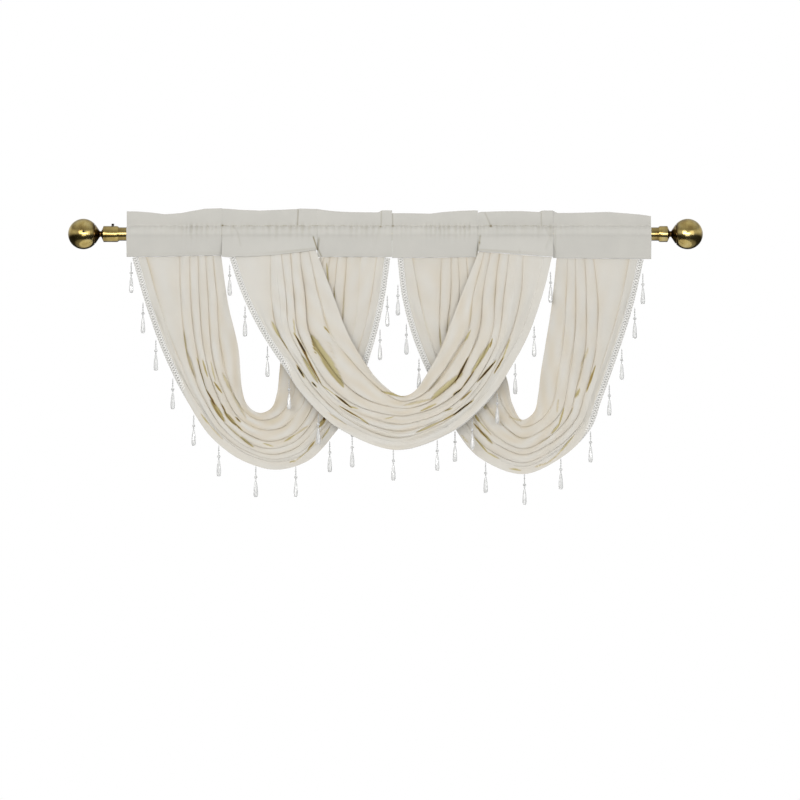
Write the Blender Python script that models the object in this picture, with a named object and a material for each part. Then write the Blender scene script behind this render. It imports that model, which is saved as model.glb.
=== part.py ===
"""A swagged window valance on its rod: three pleated swags, their gathered
headings and bead trims, and a plain rod between two ball finials.

Metres, +Z up, the front of the valance toward -Y. The origin is on the rod's
axis, midway between the finials. Tables are in millimetres.
"""

from collections import namedtuple

import bmesh
import bpy
import numpy as np

MM = 0.001

# Rod and finials, turned about the X axis
ROD_RADIUS = 12.7 * MM
ROD_SIDES = 20
ROD_LEFT_END = -528 * MM
ROD_RIGHT_END = 532 * MM
SLIP_FIT = 0.3 * MM
LEFT_COLLAR_MOUTH = 507 * MM
RIGHT_COLLAR_MOUTH = 519 * MM
COLLAR_RADIUS = 15.2 * MM
COLLAR_WALL = 0.9 * MM
COLLAR_BEVEL = 3 * MM
COLLAR_SHOULDER = 535.5 * MM
NECK_START = 540 * MM
NECK_END = 542.5 * MM
NECK_RADIUS = 5.6 * MM
SKIRT_END = 551 * MM
SKIRT_RADIUS = 18.2 * MM
GROOVE_END = 552.6 * MM
GROOVE_RADIUS = 17 * MM
GROOVE_SLOPE = 0.6 * MM
BALL_CENTRE = 574 * MM
BALL_RADIUS = 29 * MM
BALL_STEPS = 8
SET_SCREW_SIDES = 12
SET_SCREW_RADIUS = 2.6 * MM
SET_SCREW_HEIGHT = 4 * MM
SET_SCREW_X = -518 * MM

# Swag cloth
CLOTH = 1.5 * MM
SWAG_ROWS = 25
BELLY = 8 * MM
SEWN_GAP = 0.6 * MM

# Pleats: how far one laps over the next, and how far back each part of one
# lies, as shares of the pleat depth
PLEAT_OVERLAP = 4 * MM
PLEAT_OVERLAP_SHARE = 0.28
OPEN_CREASE_SHARE = 0.15
OPEN_CREASE_BACK = 0.45
FREE_EDGE_BACK = 0.3
LIP_BACK = 0.25
UNDER_BACK = 1.0
SHOULDER = 0.2
SHOULDER_BACK = 0.27
SHOULDER_TILT = 0.28
CREST_SHARE = 0.3

# Braid and bead strands
BRAID_WIDTH = 12 * MM
BRAID_THICKNESS = 1.6 * MM
BRAID_GAP = 0.65 * MM
STRAND_ROOT = 3 * MM
STRAND_STAND_OFF = 3.8 * MM

# Heading pockets
POCKET_CLEARANCE = 0.9 * MM
POCKET_ANGLES = (120, 150, 180, 210)
HEADING_STEPS = 6
SEAM_HALF = 2.6 * MM
SEAM_HEIGHT = 15.6 * MM
FRILL_HALF = 1.5 * MM
FRILL_WAVE = 2.5 * MM
FRILL_WAVE_STEP = 2.1
HEM_DEPTH = 5 * MM

# Edges that turn less than this are shaded round
TURNED_SMOOTH = np.radians(35)
CLOTH_SMOOTH = np.radians(40)

# Colours as linear RGB
CREAM_CLOTH = (0.64, 0.61, 0.56)
HEADING_CLOTH = (0.60, 0.58, 0.53)
SILVER_BRAID = (0.55, 0.54, 0.51)
ANTIQUE_BRASS = (0.26, 0.20, 0.075)

# One row for each section across a swag, from the left heading round the
# bottom to the right heading: the trimmed outer edge, the inner edge, the
# front of the pleats, their depth, and which way they lap (1: inner over
# outer, -1: outer over inner)
Section = namedtuple("Section", "outer_x outer_z inner_x inner_z front depth lap")
SECTIONS = {
    "left": (
        Section(-482, -44, -312, -41, -4, 5, -0.7),
        Section(-454, -139, -299, -131, -7, 8, -0.8),
        Section(-417, -239, -279, -220, -7, 10, -0.3),
        Section(-375, -321, -273, -289, -7, 12, 0.5),
        Section(-326, -391, -265, -321, -7, 12, 0.9),
        Section(-271, -431, -250, -336, -8, 11, 0.9),
        Section(-212, -448, -235, -340, -9, 10, 0.9),
        Section(-151, -433, -217, -331, -8, 10, 0.9),
        Section(-96, -378, -206, -302, -7, 11, 0.8),
        Section(-54, -300, -198, -236, -7, 11, 0.3),
        Section(-18, -196, -174, -158, -7, 9, -0.4),
        Section(-1, -122, -149, -101, -7, 8, -0.8),
        Section(10, -44, -125, -44, -4, 5, -0.7),
    ),
    "centre": (
        Section(-297, -44, -132, -31, -13, 5, -0.7),
        Section(-268, -125, -96, -125, -25, 9, -0.8),
        Section(-231, -196, -71, -190, -33, 11, -0.3),
        Section(-193, -253, -48, -230, -38, 13, 0.6),
        Section(-155, -308, -24, -266, -41, 13, 0.9),
        Section(-77, -376, 9, -298, -45, 12, 0.9),
        Section(28, -410, 33, -308, -47, 11, 0.9),
        Section(119, -380, 54, -300, -45, 12, 0.9),
        Section(200, -312, 81, -262, -41, 13, 0.8),
        Section(237, -255, 104, -220, -38, 13, 0.4),
        Section(267, -201, 121, -177, -33, 11, -0.3),
        Section(298, -116, 144, -116, -25, 9, -0.8),
        Section(316, -44, 177, -34, -13, 5, -0.7),
    ),
    "right": (
        Section(22, -46, 173, -44, -4, 5, -0.7),
        Section(32, -125, 183, -122, -7, 8, -0.8),
        Section(52, -198, 195, -179, -7, 10, -0.3),
        Section(85, -277, 212, -230, -7, 12, 0.4),
        Section(123, -355, 231, -277, -7, 12, 0.9),
        Section(180, -426, 241, -323, -8, 11, 0.9),
        Section(263, -456, 259, -353, -9, 10, 0.9),
        Section(332, -426, 282, -338, -8, 10, 0.9),
        Section(389, -372, 290, -306, -7, 11, 0.8),
        Section(411, -315, 295, -264, -7, 11, 0.4),
        Section(434, -251, 303, -215, -7, 10, -0.3),
        Section(470, -139, 316, -131, -7, 8, -0.8),
        Section(491, -48, 325, -46, -4, 5, -0.7),
    ),
}

# The sections at which each fold's place across the swag is given, and the
# shares of the way along the swag at which its strengths hold
FOLD_SECTIONS = (0, 1, 2, 4, 6, 8, 10, 11, 12)
STRENGTH_MARKS = (0, 0.3, 0.5, 0.7, 1)

# One row for each fold: its places from the outer edge (0) to the inner edge
# (1) at those sections, then how strong it is on the left, at the bottom and
# on the right
Fold = namedtuple("Fold", "places left bottom right")
FOLDS = {
    "left": (
        Fold((0.09, 0.09, 0.09, 0.08, 0.08, 0.08, 0.09, 0.10, 0.11), 0.5, 0.6, 0.4),
        Fold((0.50, 0.38, 0.25, 0.19, 0.18, 0.18, 0.21, 0.28, 0.36), 0.8, 0.6, 0.5),
        Fold((0.62, 0.51, 0.38, 0.31, 0.29, 0.29, 0.37, 0.48, 0.58), 1.0, 0.8, 0.8),
        Fold((0.72, 0.62, 0.49, 0.47, 0.43, 0.41, 0.52, 0.62, 0.72), 1.0, 0.7, 0.7),
        Fold((0.81, 0.74, 0.61, 0.65, 0.66, 0.56, 0.67, 0.75, 0.84), 0.9, 0.6, 0.6),
        Fold((0.90, 0.86, 0.74, 0.85, 0.86, 0.76, 0.82, 0.87, 0.93), 0.7, 0.6, 0.4),
    ),
    "centre": (
        Fold((0.43, 0.25, 0.12, 0.12, 0.13, 0.12, 0.14, 0.20, 0.33), 0.9, 0.7, 0.8),
        Fold((0.50, 0.34, 0.20, 0.17, 0.26, 0.19, 0.22, 0.31, 0.44), 0.0, 0.5, 0.0),
        Fold((0.57, 0.43, 0.28, 0.24, 0.40, 0.26, 0.30, 0.42, 0.55), 0.6, 0.6, 0.8),
        Fold((0.68, 0.52, 0.38, 0.34, 0.58, 0.39, 0.40, 0.55, 0.68), 1.1, 0.7, 1.0),
        Fold((0.80, 0.65, 0.53, 0.54, 0.74, 0.56, 0.58, 0.71, 0.82), 1.4, 0.5, 1.2),
        Fold((0.91, 0.82, 0.78, 0.88, 0.91, 0.80, 0.74, 0.84, 0.91), 0.6, 0.6, 0.7),
    ),
    "right": (
        Fold((0.12, 0.15, 0.14, 0.10, 0.10, 0.08, 0.08, 0.09, 0.10), 0.5, 0.8, 0.5),
        Fold((0.52, 0.43, 0.30, 0.24, 0.27, 0.21, 0.22, 0.38, 0.54), 0.8, 0.8, 0.9),
        Fold((0.65, 0.57, 0.41, 0.34, 0.40, 0.34, 0.37, 0.53, 0.65), 0.8, 0.7, 0.9),
        Fold((0.75, 0.69, 0.53, 0.52, 0.63, 0.50, 0.56, 0.68, 0.77), 0.7, 0.6, 0.8),
        Fold((0.86, 0.83, 0.78, 0.77, 0.85, 0.70, 0.74, 0.81, 0.87), 0.5, 0.7, 0.5),
    ),
}

# Where the bead strands hang: each one's distance along the trim
STRANDS = {
    "left": (10, 90, 165, 245, 325, 400, 480, 555, 635, 715, 795, 870, 935),
    "centre": (16, 100, 188, 262, 348, 425, 506, 590, 667, 735, 800, 880, 988),
    "right": (51, 127, 197, 275, 351, 434, 510, 584, 660, 756, 828, 910, 977),
}

# One row for each ring down a bead strand: a thread, a round bead, then the
# faceted drop
StrandRing = namedtuple("StrandRing", "drop half_width")
STRAND_RINGS = (
    StrandRing(5, 1.1),
    StrandRing(19, 1.1),
    StrandRing(22, 3.2),
    StrandRing(26, 1.0),
    StrandRing(30, 3.0),
    StrandRing(42, 4.6),
    StrandRing(58, 0.9),
)

# One row for each heading, left to right: the swag that hangs from it, which
# of that swag's rows it holds, its two ends along the rod, and the height of
# its frill at the left, in the middle and at the right
Heading = namedtuple("Heading", "name swag row left_x right_x left_top middle_top right_top")
HEADINGS = (
    Heading("heading_left_outer", "left", 0, -491, -311, 43, 38, 49),
    Heading("heading_centre_left", "centre", 0, -310, -130, 48, 45, 48),
    Heading("heading_left_inner", "left", -1, -129, 12, 47, 41, 45),
    Heading("heading_right_inner", "right", 0, 13, 175, 39, 39, 45),
    Heading("heading_centre_right", "centre", -1, 176, 318, 41, 43, 45),
    Heading("heading_right_outer", "right", -1, 319, 504, 40, 42, 34),
)


# Where the lower edge of a heading lies: its front, its back and its height
Hem = namedtuple("Hem", "front back level")


def clear_scene():
    for item in list(bpy.data.objects):
        bpy.data.objects.remove(item, do_unlink=True)


def material(name, colour, roughness, metallic=0.0):
    made = bpy.data.materials.new(name)
    made.use_nodes = True
    shader = made.node_tree.nodes["Principled BSDF"]
    shader.inputs["Base Color"].default_value = (*colour, 1.0)
    shader.inputs["Roughness"].default_value = roughness
    shader.inputs["Metallic"].default_value = metallic
    return made


def add_object(name, points, faces, finish):
    """A closed mesh object from points and faces, its normals facing out."""
    mesh = bpy.data.meshes.new(name)
    mesh.from_pydata([tuple(point) for point in points], [], faces)
    shape = bmesh.new()
    shape.from_mesh(mesh)
    bmesh.ops.recalc_face_normals(shape, faces=shape.faces)
    shape.to_mesh(mesh)
    shape.free()
    mesh.materials.append(finish)
    made = bpy.data.objects.new(name, mesh)
    bpy.context.scene.collection.objects.link(made)
    return made


def strip(ring, following):
    """Faces between two rings of point numbers; a pole is a ring that repeats one number."""
    faces = []
    for side in range(len(ring)):
        other = (side + 1) % len(ring)
        corners = [ring[side], ring[other], following[other], following[side]]
        faces.append(list(dict.fromkeys(corners)))
    return faces


def turned(name, profile, finish):
    """A solid turned about the X axis, from (x, radius) rows; a radius of 0 is a pole."""
    angles = np.arange(ROD_SIDES) * 2 * np.pi / ROD_SIDES
    points = []
    rings = []
    for x, radius in profile:
        if radius == 0:
            rings.append([len(points)] * ROD_SIDES)
            points.append((x, 0, 0))
            continue
        rings.append(list(range(len(points), len(points) + ROD_SIDES)))
        points += [(x, radius * np.cos(angle), radius * np.sin(angle)) for angle in angles]
    faces = []
    for ring, following in zip(rings, rings[1:]):
        faces += strip(ring, following)
    made = add_object(name, points, faces, finish)
    made.data.shade_smooth()
    made.data.set_sharp_from_angle(angle=TURNED_SMOOTH)
    return made


def smooth(knots, values, at):
    """Values of the smooth curve through rows of a table, at the places asked for."""
    knots = np.asarray(knots, float)
    values = np.asarray(values, float)
    slopes = np.gradient(values, knots, axis=0)
    span = np.clip(np.searchsorted(knots, at, side="right") - 1, 0, len(knots) - 2)
    width = knots[span + 1] - knots[span]
    s = (at - knots[span]) / width
    shape = (-1,) + (1,) * (values.ndim - 1)
    s = s.reshape(shape)
    width = width.reshape(shape)
    start = (1 + 2 * s) * (1 - s) ** 2
    end = s * s * (3 - 2 * s)
    leave = s * (1 - s) ** 2 * width
    arrive = s * s * (s - 1) * width
    return (
        start * values[span]
        + end * values[span + 1]
        + leave * slopes[span]
        + arrive * slopes[span + 1]
    )


Lines = namedtuple(
    "Lines", "outer braid_edge cloth_edge inner front depth lap belly places strengths"
)


def swag_lines(swag):
    """The swag's edges at every row along it, as (x, z) points in metres, with the front,
    depth, lap and belly of its pleats and the place and strength of each fold."""
    table = np.array(SECTIONS[swag], float)
    given = Section(*table.T)
    middle_x = (given.outer_x + given.inner_x) / 2
    middle_z = (given.outer_z + given.inner_z) / 2
    knots = np.concatenate([[0], np.cumsum(np.hypot(np.diff(middle_x), np.diff(middle_z)))])
    at = np.linspace(0, knots[-1], SWAG_ROWS)
    rows = Section(*smooth(knots, table, at).T)
    outer = np.stack([rows.outer_x, rows.outer_z], axis=1) * MM
    inner = np.stack([rows.inner_x, rows.inner_z], axis=1) * MM
    along = units(np.gradient(outer, axis=0))
    inward = np.stack([-along[:, 1], along[:, 0]], axis=1)
    inward[0] = (1, 0)
    inward[-1] = (-1, 0)
    folds = FOLDS[swag]
    places = np.array([fold.places for fold in folds]).T
    strengths = np.array([(fold.left, fold.left, fold.bottom, fold.right, fold.right) for fold in folds]).T
    return Lines(
        outer=outer,
        braid_edge=outer + inward * BRAID_WIDTH,
        cloth_edge=outer + inward * (BRAID_WIDTH + BRAID_GAP),
        inner=inner,
        front=rows.front * MM,
        depth=rows.depth * MM,
        lap=rows.lap,
        belly=BELLY * np.sin(np.pi * at / knots[-1]),
        places=smooth(knots[list(FOLD_SECTIONS)], places, at),
        strengths=smooth(knots[-1] * np.array(STRENGTH_MARKS), strengths, at),
    )


def crease_pair(lap, strength, overlap, flat):
    """The cloth's two points at a crease, as (across, back): the last of the outer pleat and
    the first of the inner one. Back is a share of the pleat depth."""
    lip = (0.0, LIP_BACK)
    if lap > 0:
        lapped = (overlap, UNDER_BACK), lip
    else:
        lapped = lip, (-overlap, UNDER_BACK)
    opened = (-flat, OPEN_CREASE_BACK), (flat, OPEN_CREASE_BACK)
    turned_over = abs(lap)
    sewn = min(strength, 1.0)
    pair = []
    for closed_point, open_point in zip(lapped, opened):
        across = turned_over * closed_point[0] + (1 - turned_over) * open_point[0]
        back = turned_over * closed_point[1] + (1 - turned_over) * open_point[1]
        pair.append((sewn * across + (1 - sewn) * open_point[0], strength * back))
    return pair


def pleat_profile(edges, strengths, lap):
    """Points (across, back) of one section's cloth from its outer to its inner edge. The
    edges are the creases' places in metres, with the two free edges at the ends."""
    widths = np.diff(edges)
    nears = [FREE_EDGE_BACK, *strengths * (SHOULDER_BACK - SHOULDER_TILT * lap)]
    fars = [*strengths * (SHOULDER_BACK + SHOULDER_TILT * lap), FREE_EDGE_BACK]
    profile = [(edges[0], FREE_EDGE_BACK)]
    for pleat, (start, width, near, far) in enumerate(zip(edges, widths, nears, fars)):
        profile.append((start + SHOULDER * width, near))
        profile.append((start + width / 2, CREST_SHARE * (near + far)))
        profile.append((start + (1 - SHOULDER) * width, far))
        if pleat == len(strengths):
            break
        narrow = min(width, widths[pleat + 1])
        overlap = min(PLEAT_OVERLAP, PLEAT_OVERLAP_SHARE * narrow)
        flat = OPEN_CREASE_SHARE * narrow
        for across, back in crease_pair(lap, strengths[pleat], overlap, flat):
            profile.append((start + width + across, back))
    profile.append((edges[-1], FREE_EDGE_BACK))
    return np.array(profile)


def swag_grid(lines):
    """Mid-surface points of the swag's cloth, rows along it by columns across it."""
    grid = []
    for row in range(SWAG_ROWS):
        outer, inner = lines.cloth_edge[row], lines.inner[row]
        reach = np.linalg.norm(inner - outer)
        edges = reach * np.concatenate([[0], lines.places[row], [1]])
        profile = pleat_profile(edges, lines.strengths[row], lines.lap[row])
        across = profile[:, :1] / reach
        flat = outer + across * (inner - outer)
        belly = lines.belly[row] * np.sin(np.pi * across[:, 0])
        back = lines.front[row] + lines.depth[row] * profile[:, 1] - belly
        grid.append(np.stack([flat[:, 0], back, flat[:, 1]], axis=1))
    return np.array(grid)


def units(vectors):
    return vectors / np.linalg.norm(vectors, axis=-1, keepdims=True)


def grid_normals(grid):
    steps = units(np.diff(grid, axis=1))
    across = np.concatenate([steps[:, :1], steps], axis=1)
    across += np.concatenate([steps, steps[:, -1:]], axis=1)
    along = np.gradient(grid, axis=0)
    along[0] = (0, 0, -1)
    along[-1] = (0, 0, 1)
    return units(np.cross(along, across))


def closed_sheet(name, grid, thickness, finish):
    """A sheet of cloth with its two faces and its four rims."""
    rows, columns = grid.shape[:2]
    half = grid_normals(grid) * thickness / 2
    points = np.concatenate([(grid + half).reshape(-1, 3), (grid - half).reshape(-1, 3)])
    back = rows * columns

    def corner(row, column, side):
        return row * columns + column + side * back

    faces = []
    for row in range(rows - 1):
        for column in range(columns - 1):
            for side in (0, 1):
                faces.append(
                    [
                        corner(row, column, side),
                        corner(row, column + 1, side),
                        corner(row + 1, column + 1, side),
                        corner(row + 1, column, side),
                    ]
                )
    rim = [(0, column) for column in range(columns)]
    rim += [(row, columns - 1) for row in range(1, rows)]
    rim += [(rows - 1, column) for column in range(columns - 2, -1, -1)]
    rim += [(row, 0) for row in range(rows - 2, 0, -1)]
    for (row, column), (next_row, next_column) in zip(rim, rim[1:] + rim[:1]):
        faces.append(
            [
                corner(row, column, 0),
                corner(next_row, next_column, 0),
                corner(next_row, next_column, 1),
                corner(row, column, 1),
            ]
        )
    made = add_object(name, points, faces, finish)
    made.data.shade_smooth()
    made.data.set_sharp_from_angle(angle=CLOTH_SMOOTH)
    return made


def at_rows(line, marks):
    """Points of a line at fractional row numbers."""
    rows = np.arange(len(line))
    return np.stack([np.interp(marks, rows, values) for values in line.T], axis=1)


def strand_roots(outer, strands):
    """Pairs of fractional row numbers, one for each strand's root along the trim."""
    steps = np.linalg.norm(np.diff(outer, axis=0), axis=1)
    run = np.concatenate([[0], np.cumsum(steps)])
    centres = np.array(strands) * MM
    rows = np.arange(len(outer))
    starts = np.interp(centres - STRAND_ROOT / 2, run, rows)
    ends = np.interp(centres + STRAND_ROOT / 2, run, rows)
    return list(zip(starts, ends))


def trim(name, lines, cloth_back, strands, finish):
    """The braid strip beyond the cloth's outer edge, with its bead strands, one body."""
    roots = strand_roots(lines.outer, strands)
    marks = sorted(set(range(SWAG_ROWS)) | {mark for root in roots for mark in root})
    marks = np.array(marks, float)
    outer = at_rows(lines.outer, marks)
    inner = at_rows(lines.braid_edge, marks)
    middle = np.interp(marks, np.arange(SWAG_ROWS), cloth_back)
    half = BRAID_THICKNESS / 2
    points = []
    rings = []
    for index, back in enumerate(middle):
        rings.append(list(range(len(points), len(points) + 4)))
        for edge, side in ((outer, -half), (inner, -half), (inner, half), (outer, half)):
            points.append((edge[index][0], back + side, edge[index][1]))
    root_starts = {root[0] for root in roots}
    faces = [rings[0], rings[-1]]
    for mark, here, there in zip(marks, rings, rings[1:]):
        for corner in range(3):
            faces.append([here[corner], here[corner + 1], there[corner + 1], there[corner]])
        root = [here[0], there[0], there[3], here[3]]
        if mark in root_starts:
            add_strand(points, faces, root)
        else:
            faces.append(root)
    return add_object(name, points, faces, finish)


def add_strand(points, faces, root):
    """A four-sided bead strand that hangs straight down from the braid's rim."""
    corners = np.array([points[index] for index in root])
    centre = corners.mean(axis=0)
    run = corners[1] - corners[0]
    outward = units(np.array([run[2], 0, -run[0]]))
    axis_x = centre[0] + outward[0] * STRAND_STAND_OFF
    ring = root
    for row in STRAND_RINGS:
        following = list(range(len(points), len(points) + 4))
        half = row.half_width * MM
        for side_x, side_y in ((-half, -half), (half, -half), (half, half), (-half, half)):
            points.append((axis_x + side_x, centre[1] + side_y, centre[2] - row.drop * MM))
        faces += strip(ring, following)
        ring = following
    faces.append(ring)


def pocket_arc(radius):
    """Points (y, z) down the front of the rod pocket at this radius."""
    angles = np.radians(POCKET_ANGLES)
    return [(radius * np.cos(angle), radius * np.sin(angle)) for angle in angles]


def turned_back(points):
    """The same points up the back of the pocket."""
    return [(-y, z) for y, z in reversed(points)]


def heading_ring(top, hem, wave):
    """One section of a heading as (y, z) points: down its front, up its back, then down the
    front and up the back of its pocket."""
    hole = ROD_RADIUS + POCKET_CLEARANCE
    middle = (top + SEAM_HEIGHT) / 2
    front = [(wave - FRILL_HALF, top), (wave / 2 - FRILL_HALF, middle), (-SEAM_HALF, SEAM_HEIGHT)]
    back = [(SEAM_HALF, SEAM_HEIGHT), (wave / 2 + FRILL_HALF, middle), (wave + FRILL_HALF, top)]
    outer_arc = pocket_arc(hole + CLOTH)
    inner_arc = pocket_arc(hole)
    floor = hem.level + HEM_DEPTH
    return (
        front + outer_arc + [(hem.front, hem.level)],
        [(hem.back, hem.level)] + turned_back(outer_arc) + back,
        [(0, hole)] + inner_arc + [(hem.front + CLOTH, floor)],
        [(hem.back - CLOTH, floor)] + turned_back(inner_arc),
    )


def heading(row, lines, finish):
    """A rod pocket with its standing frill, open at both ends."""
    corners = sorted([lines.outer[row.row], lines.inner[row.row]], key=lambda corner: corner[0])
    front = lines.front[row.row] - 2 * CLOTH
    back = lines.front[row.row] + lines.depth[row.row] + 2 * CLOTH
    points = []
    sections = []
    for step in range(HEADING_STEPS + 1):
        share = step / HEADING_STEPS
        x = (row.left_x + share * (row.right_x - row.left_x)) * MM
        bend = 4 * share * (1 - share)
        ends = (1 - share) * row.left_top + share * row.right_top
        top = ends + bend * (row.middle_top - (row.left_top + row.right_top) / 2)
        edge = np.interp(x, [corner[0] for corner in corners], [corner[1] for corner in corners])
        wave = FRILL_WAVE * np.sin(step * FRILL_WAVE_STEP + row.left_x)
        section = []
        for run in heading_ring(top * MM, Hem(front, back, SEWN_GAP + edge), wave):
            section.append(list(range(len(points), len(points) + len(run))))
            points += [(x, y, z) for y, z in run]
        sections.append(section)
    faces = []
    for here, there in zip(sections, sections[1:]):
        for first, second in ((0, 1), (2, 3)):
            faces += strip(here[first] + here[second], there[first] + there[second])
    for down, up, inside_down, inside_up in (sections[0], sections[-1]):
        faces.append(down + inside_down[::-1])
        faces.append(up + [inside_down[0]] + inside_up[::-1])
        faces.append([down[0], inside_down[0], up[-1]])
        faces.append([down[-1], up[0], inside_up[0], inside_down[-1]])
    return add_object(row.name, points, faces, finish)


def finial_profile(rod_end, mouth):
    """Rows (x, radius) of a finial from the floor of its collar cup to the tip of its ball."""
    bore = ROD_RADIUS + SLIP_FIT
    floor = rod_end + SLIP_FIT
    profile = [(floor, 0), (floor, bore), (mouth, bore), (mouth, bore + COLLAR_WALL)]
    profile.append((mouth + COLLAR_BEVEL, COLLAR_RADIUS))
    profile.append((COLLAR_SHOULDER, COLLAR_RADIUS))
    profile.append((NECK_START, NECK_RADIUS))
    profile.append((NECK_END, NECK_RADIUS))
    profile.append((SKIRT_END, SKIRT_RADIUS))
    profile.append((SKIRT_END + GROOVE_SLOPE, GROOVE_RADIUS))
    profile.append((GROOVE_END, GROOVE_RADIUS))
    first = np.arccos((GROOVE_END - BALL_CENTRE) / BALL_RADIUS)
    for angle in np.linspace(first, 0, BALL_STEPS, endpoint=False):
        profile.append((BALL_CENTRE + BALL_RADIUS * np.cos(angle), BALL_RADIUS * np.sin(angle)))
    profile.append((BALL_CENTRE + BALL_RADIUS, 0))
    return profile


def set_screw(finish):
    """The small screw that stands on top of the left collar."""
    mesh = bpy.data.meshes.new("set_screw")
    shape = bmesh.new()
    bmesh.ops.create_cone(
        shape,
        cap_ends=True,
        segments=SET_SCREW_SIDES,
        radius1=SET_SCREW_RADIUS,
        radius2=SET_SCREW_RADIUS,
        depth=SET_SCREW_HEIGHT,
    )
    shape.to_mesh(mesh)
    shape.free()
    mesh.materials.append(finish)
    made = bpy.data.objects.new("set_screw", mesh)
    made.location = (SET_SCREW_X, 0, COLLAR_RADIUS + SLIP_FIT + SET_SCREW_HEIGHT / 2)
    bpy.context.scene.collection.objects.link(made)
    return made


def main():
    clear_scene()
    brass = material("antique_brass", ANTIQUE_BRASS, 0.35, 1.0)
    cloth = material("cream_cloth", CREAM_CLOTH, 0.9)
    band = material("heading_cloth", HEADING_CLOTH, 0.9)
    braid = material("silver_braid", SILVER_BRAID, 0.5)

    rod = [(ROD_LEFT_END, 0), (ROD_LEFT_END, ROD_RADIUS)]
    rod += [(ROD_RIGHT_END, ROD_RADIUS), (ROD_RIGHT_END, 0)]
    turned("rod", rod, brass)
    left_profile = finial_profile(-ROD_LEFT_END, LEFT_COLLAR_MOUTH)
    turned("finial_left", [(-x, radius) for x, radius in left_profile], brass)
    turned("finial_right", finial_profile(ROD_RIGHT_END, RIGHT_COLLAR_MOUTH), brass)
    set_screw(brass)

    lines = {swag: swag_lines(swag) for swag in SECTIONS}
    for swag in SECTIONS:
        grid = swag_grid(lines[swag])
        closed_sheet(f"swag_{swag}", grid, CLOTH, cloth)
        trim(f"trim_{swag}", lines[swag], grid[:, 0, 1], STRANDS[swag], braid)
    for row in HEADINGS:
        heading(row, lines[row.swag], band)


main()
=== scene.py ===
"""The looks of a swagged window valance on its rod: pleated cloth, gathered
headings, gimp braid, bead strands and an antique brass rod with ball finials.

Metres, +Z up, the front of the valance toward -Y, the origin on the rod's
axis midway between the finials. Tables are in millimetres.
"""

from collections import namedtuple

import bmesh
import bpy
import numpy as np
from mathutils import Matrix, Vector

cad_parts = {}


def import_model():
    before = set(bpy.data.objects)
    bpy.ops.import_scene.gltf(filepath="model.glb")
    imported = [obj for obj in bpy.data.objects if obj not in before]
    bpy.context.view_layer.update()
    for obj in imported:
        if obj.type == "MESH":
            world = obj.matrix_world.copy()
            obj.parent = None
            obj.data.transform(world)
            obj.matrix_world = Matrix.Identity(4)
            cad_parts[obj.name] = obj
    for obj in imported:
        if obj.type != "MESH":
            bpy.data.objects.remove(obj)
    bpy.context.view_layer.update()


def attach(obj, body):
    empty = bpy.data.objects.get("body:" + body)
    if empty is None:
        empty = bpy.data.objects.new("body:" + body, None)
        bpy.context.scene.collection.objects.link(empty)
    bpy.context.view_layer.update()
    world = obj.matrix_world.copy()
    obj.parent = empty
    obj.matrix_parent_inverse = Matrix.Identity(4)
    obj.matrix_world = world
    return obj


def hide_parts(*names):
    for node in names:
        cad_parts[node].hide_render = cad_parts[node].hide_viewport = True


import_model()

MM = 0.001
BODY = "root"
BACKWARD = np.array([0.0, 1.0, 0.0])
RIPPLE_WAVES = 9
random = np.random.default_rng(20)

# Rod and finials, turned about the X axis
ROD_RADIUS = 12.7 * MM
ROD_LEFT_END = -528 * MM
ROD_RIGHT_END = 532 * MM
SLIP_FIT = 0.3 * MM
LEFT_COLLAR_MOUTH = 507 * MM
RIGHT_COLLAR_MOUTH = 519 * MM
COLLAR_RADIUS = 15.2 * MM
COLLAR_WALL = 0.9 * MM
COLLAR_BEVEL = 3 * MM
COLLAR_SHOULDER = 535.5 * MM
NECK_START = 540 * MM
NECK_END = 542.5 * MM
NECK_RADIUS = 5.6 * MM
SKIRT_END = 551 * MM
SKIRT_RADIUS = 18.2 * MM
GROOVE_END = 552.6 * MM
GROOVE_RADIUS = 17 * MM
GROOVE_SLOPE = 0.6 * MM
BALL_CENTRE = 574 * MM
BALL_RADIUS = 29 * MM
BALL_STEPS = 40
TURNED_SIDES = 72
TURNED_SHARP_ANGLE = np.radians(28)

# The screw on the left collar, with its rings as (share of its height, share
# of its radius), and the grub screw in the left ball
SET_SCREW_RADIUS = 2.6 * MM
SET_SCREW_HEIGHT = 4 * MM
SET_SCREW_X = -518 * MM
SET_SCREW_RINGS = ((0, 0.9), (0.1, 1), (0.85, 1), (1, 0.85))
SET_SCREW_SIDES = 24
SET_SCREW_KNURL = 0.08
GRUB_HOLE_X = 2.5 * MM
GRUB_HOLE_Z = 3.4 * MM
GRUB_HOLE_RADIUS = 2.4 * MM
GRUB_HEIGHT = 0.5 * MM
GRUB_PROUD = 0.1 * MM
GRUB_SIDES = 20

# How dark the patina lies, as (distance from the middle along the rod,
# darkness) points: on the rod, and in a finial's neck and groove
ROD_PATINA = ((0, 0.45), (540, 0.45))
FINIAL_PATINA = (
    (533, 0), (535.5, 0.35), (540, 1), (543, 1), (551, 0.4), (551.6, 1), (552.6, 0.9), (556, 0.1), (560, 0),
)

# Rims and edges sharper than this stay crisp
SHARP_ANGLE = np.radians(50)

# Swag cloth, and its width where one width serves for all its wrinkles
CLOTH = 1.1 * MM
CLOTH_WIDTH = 0.17
SWAG_ROWS = 280
ROW_CROWDING = 0.06
CONTROL_STEPS = 4
BELLY = 8 * MM
HEM_COLUMN = 0.6 * MM

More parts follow.
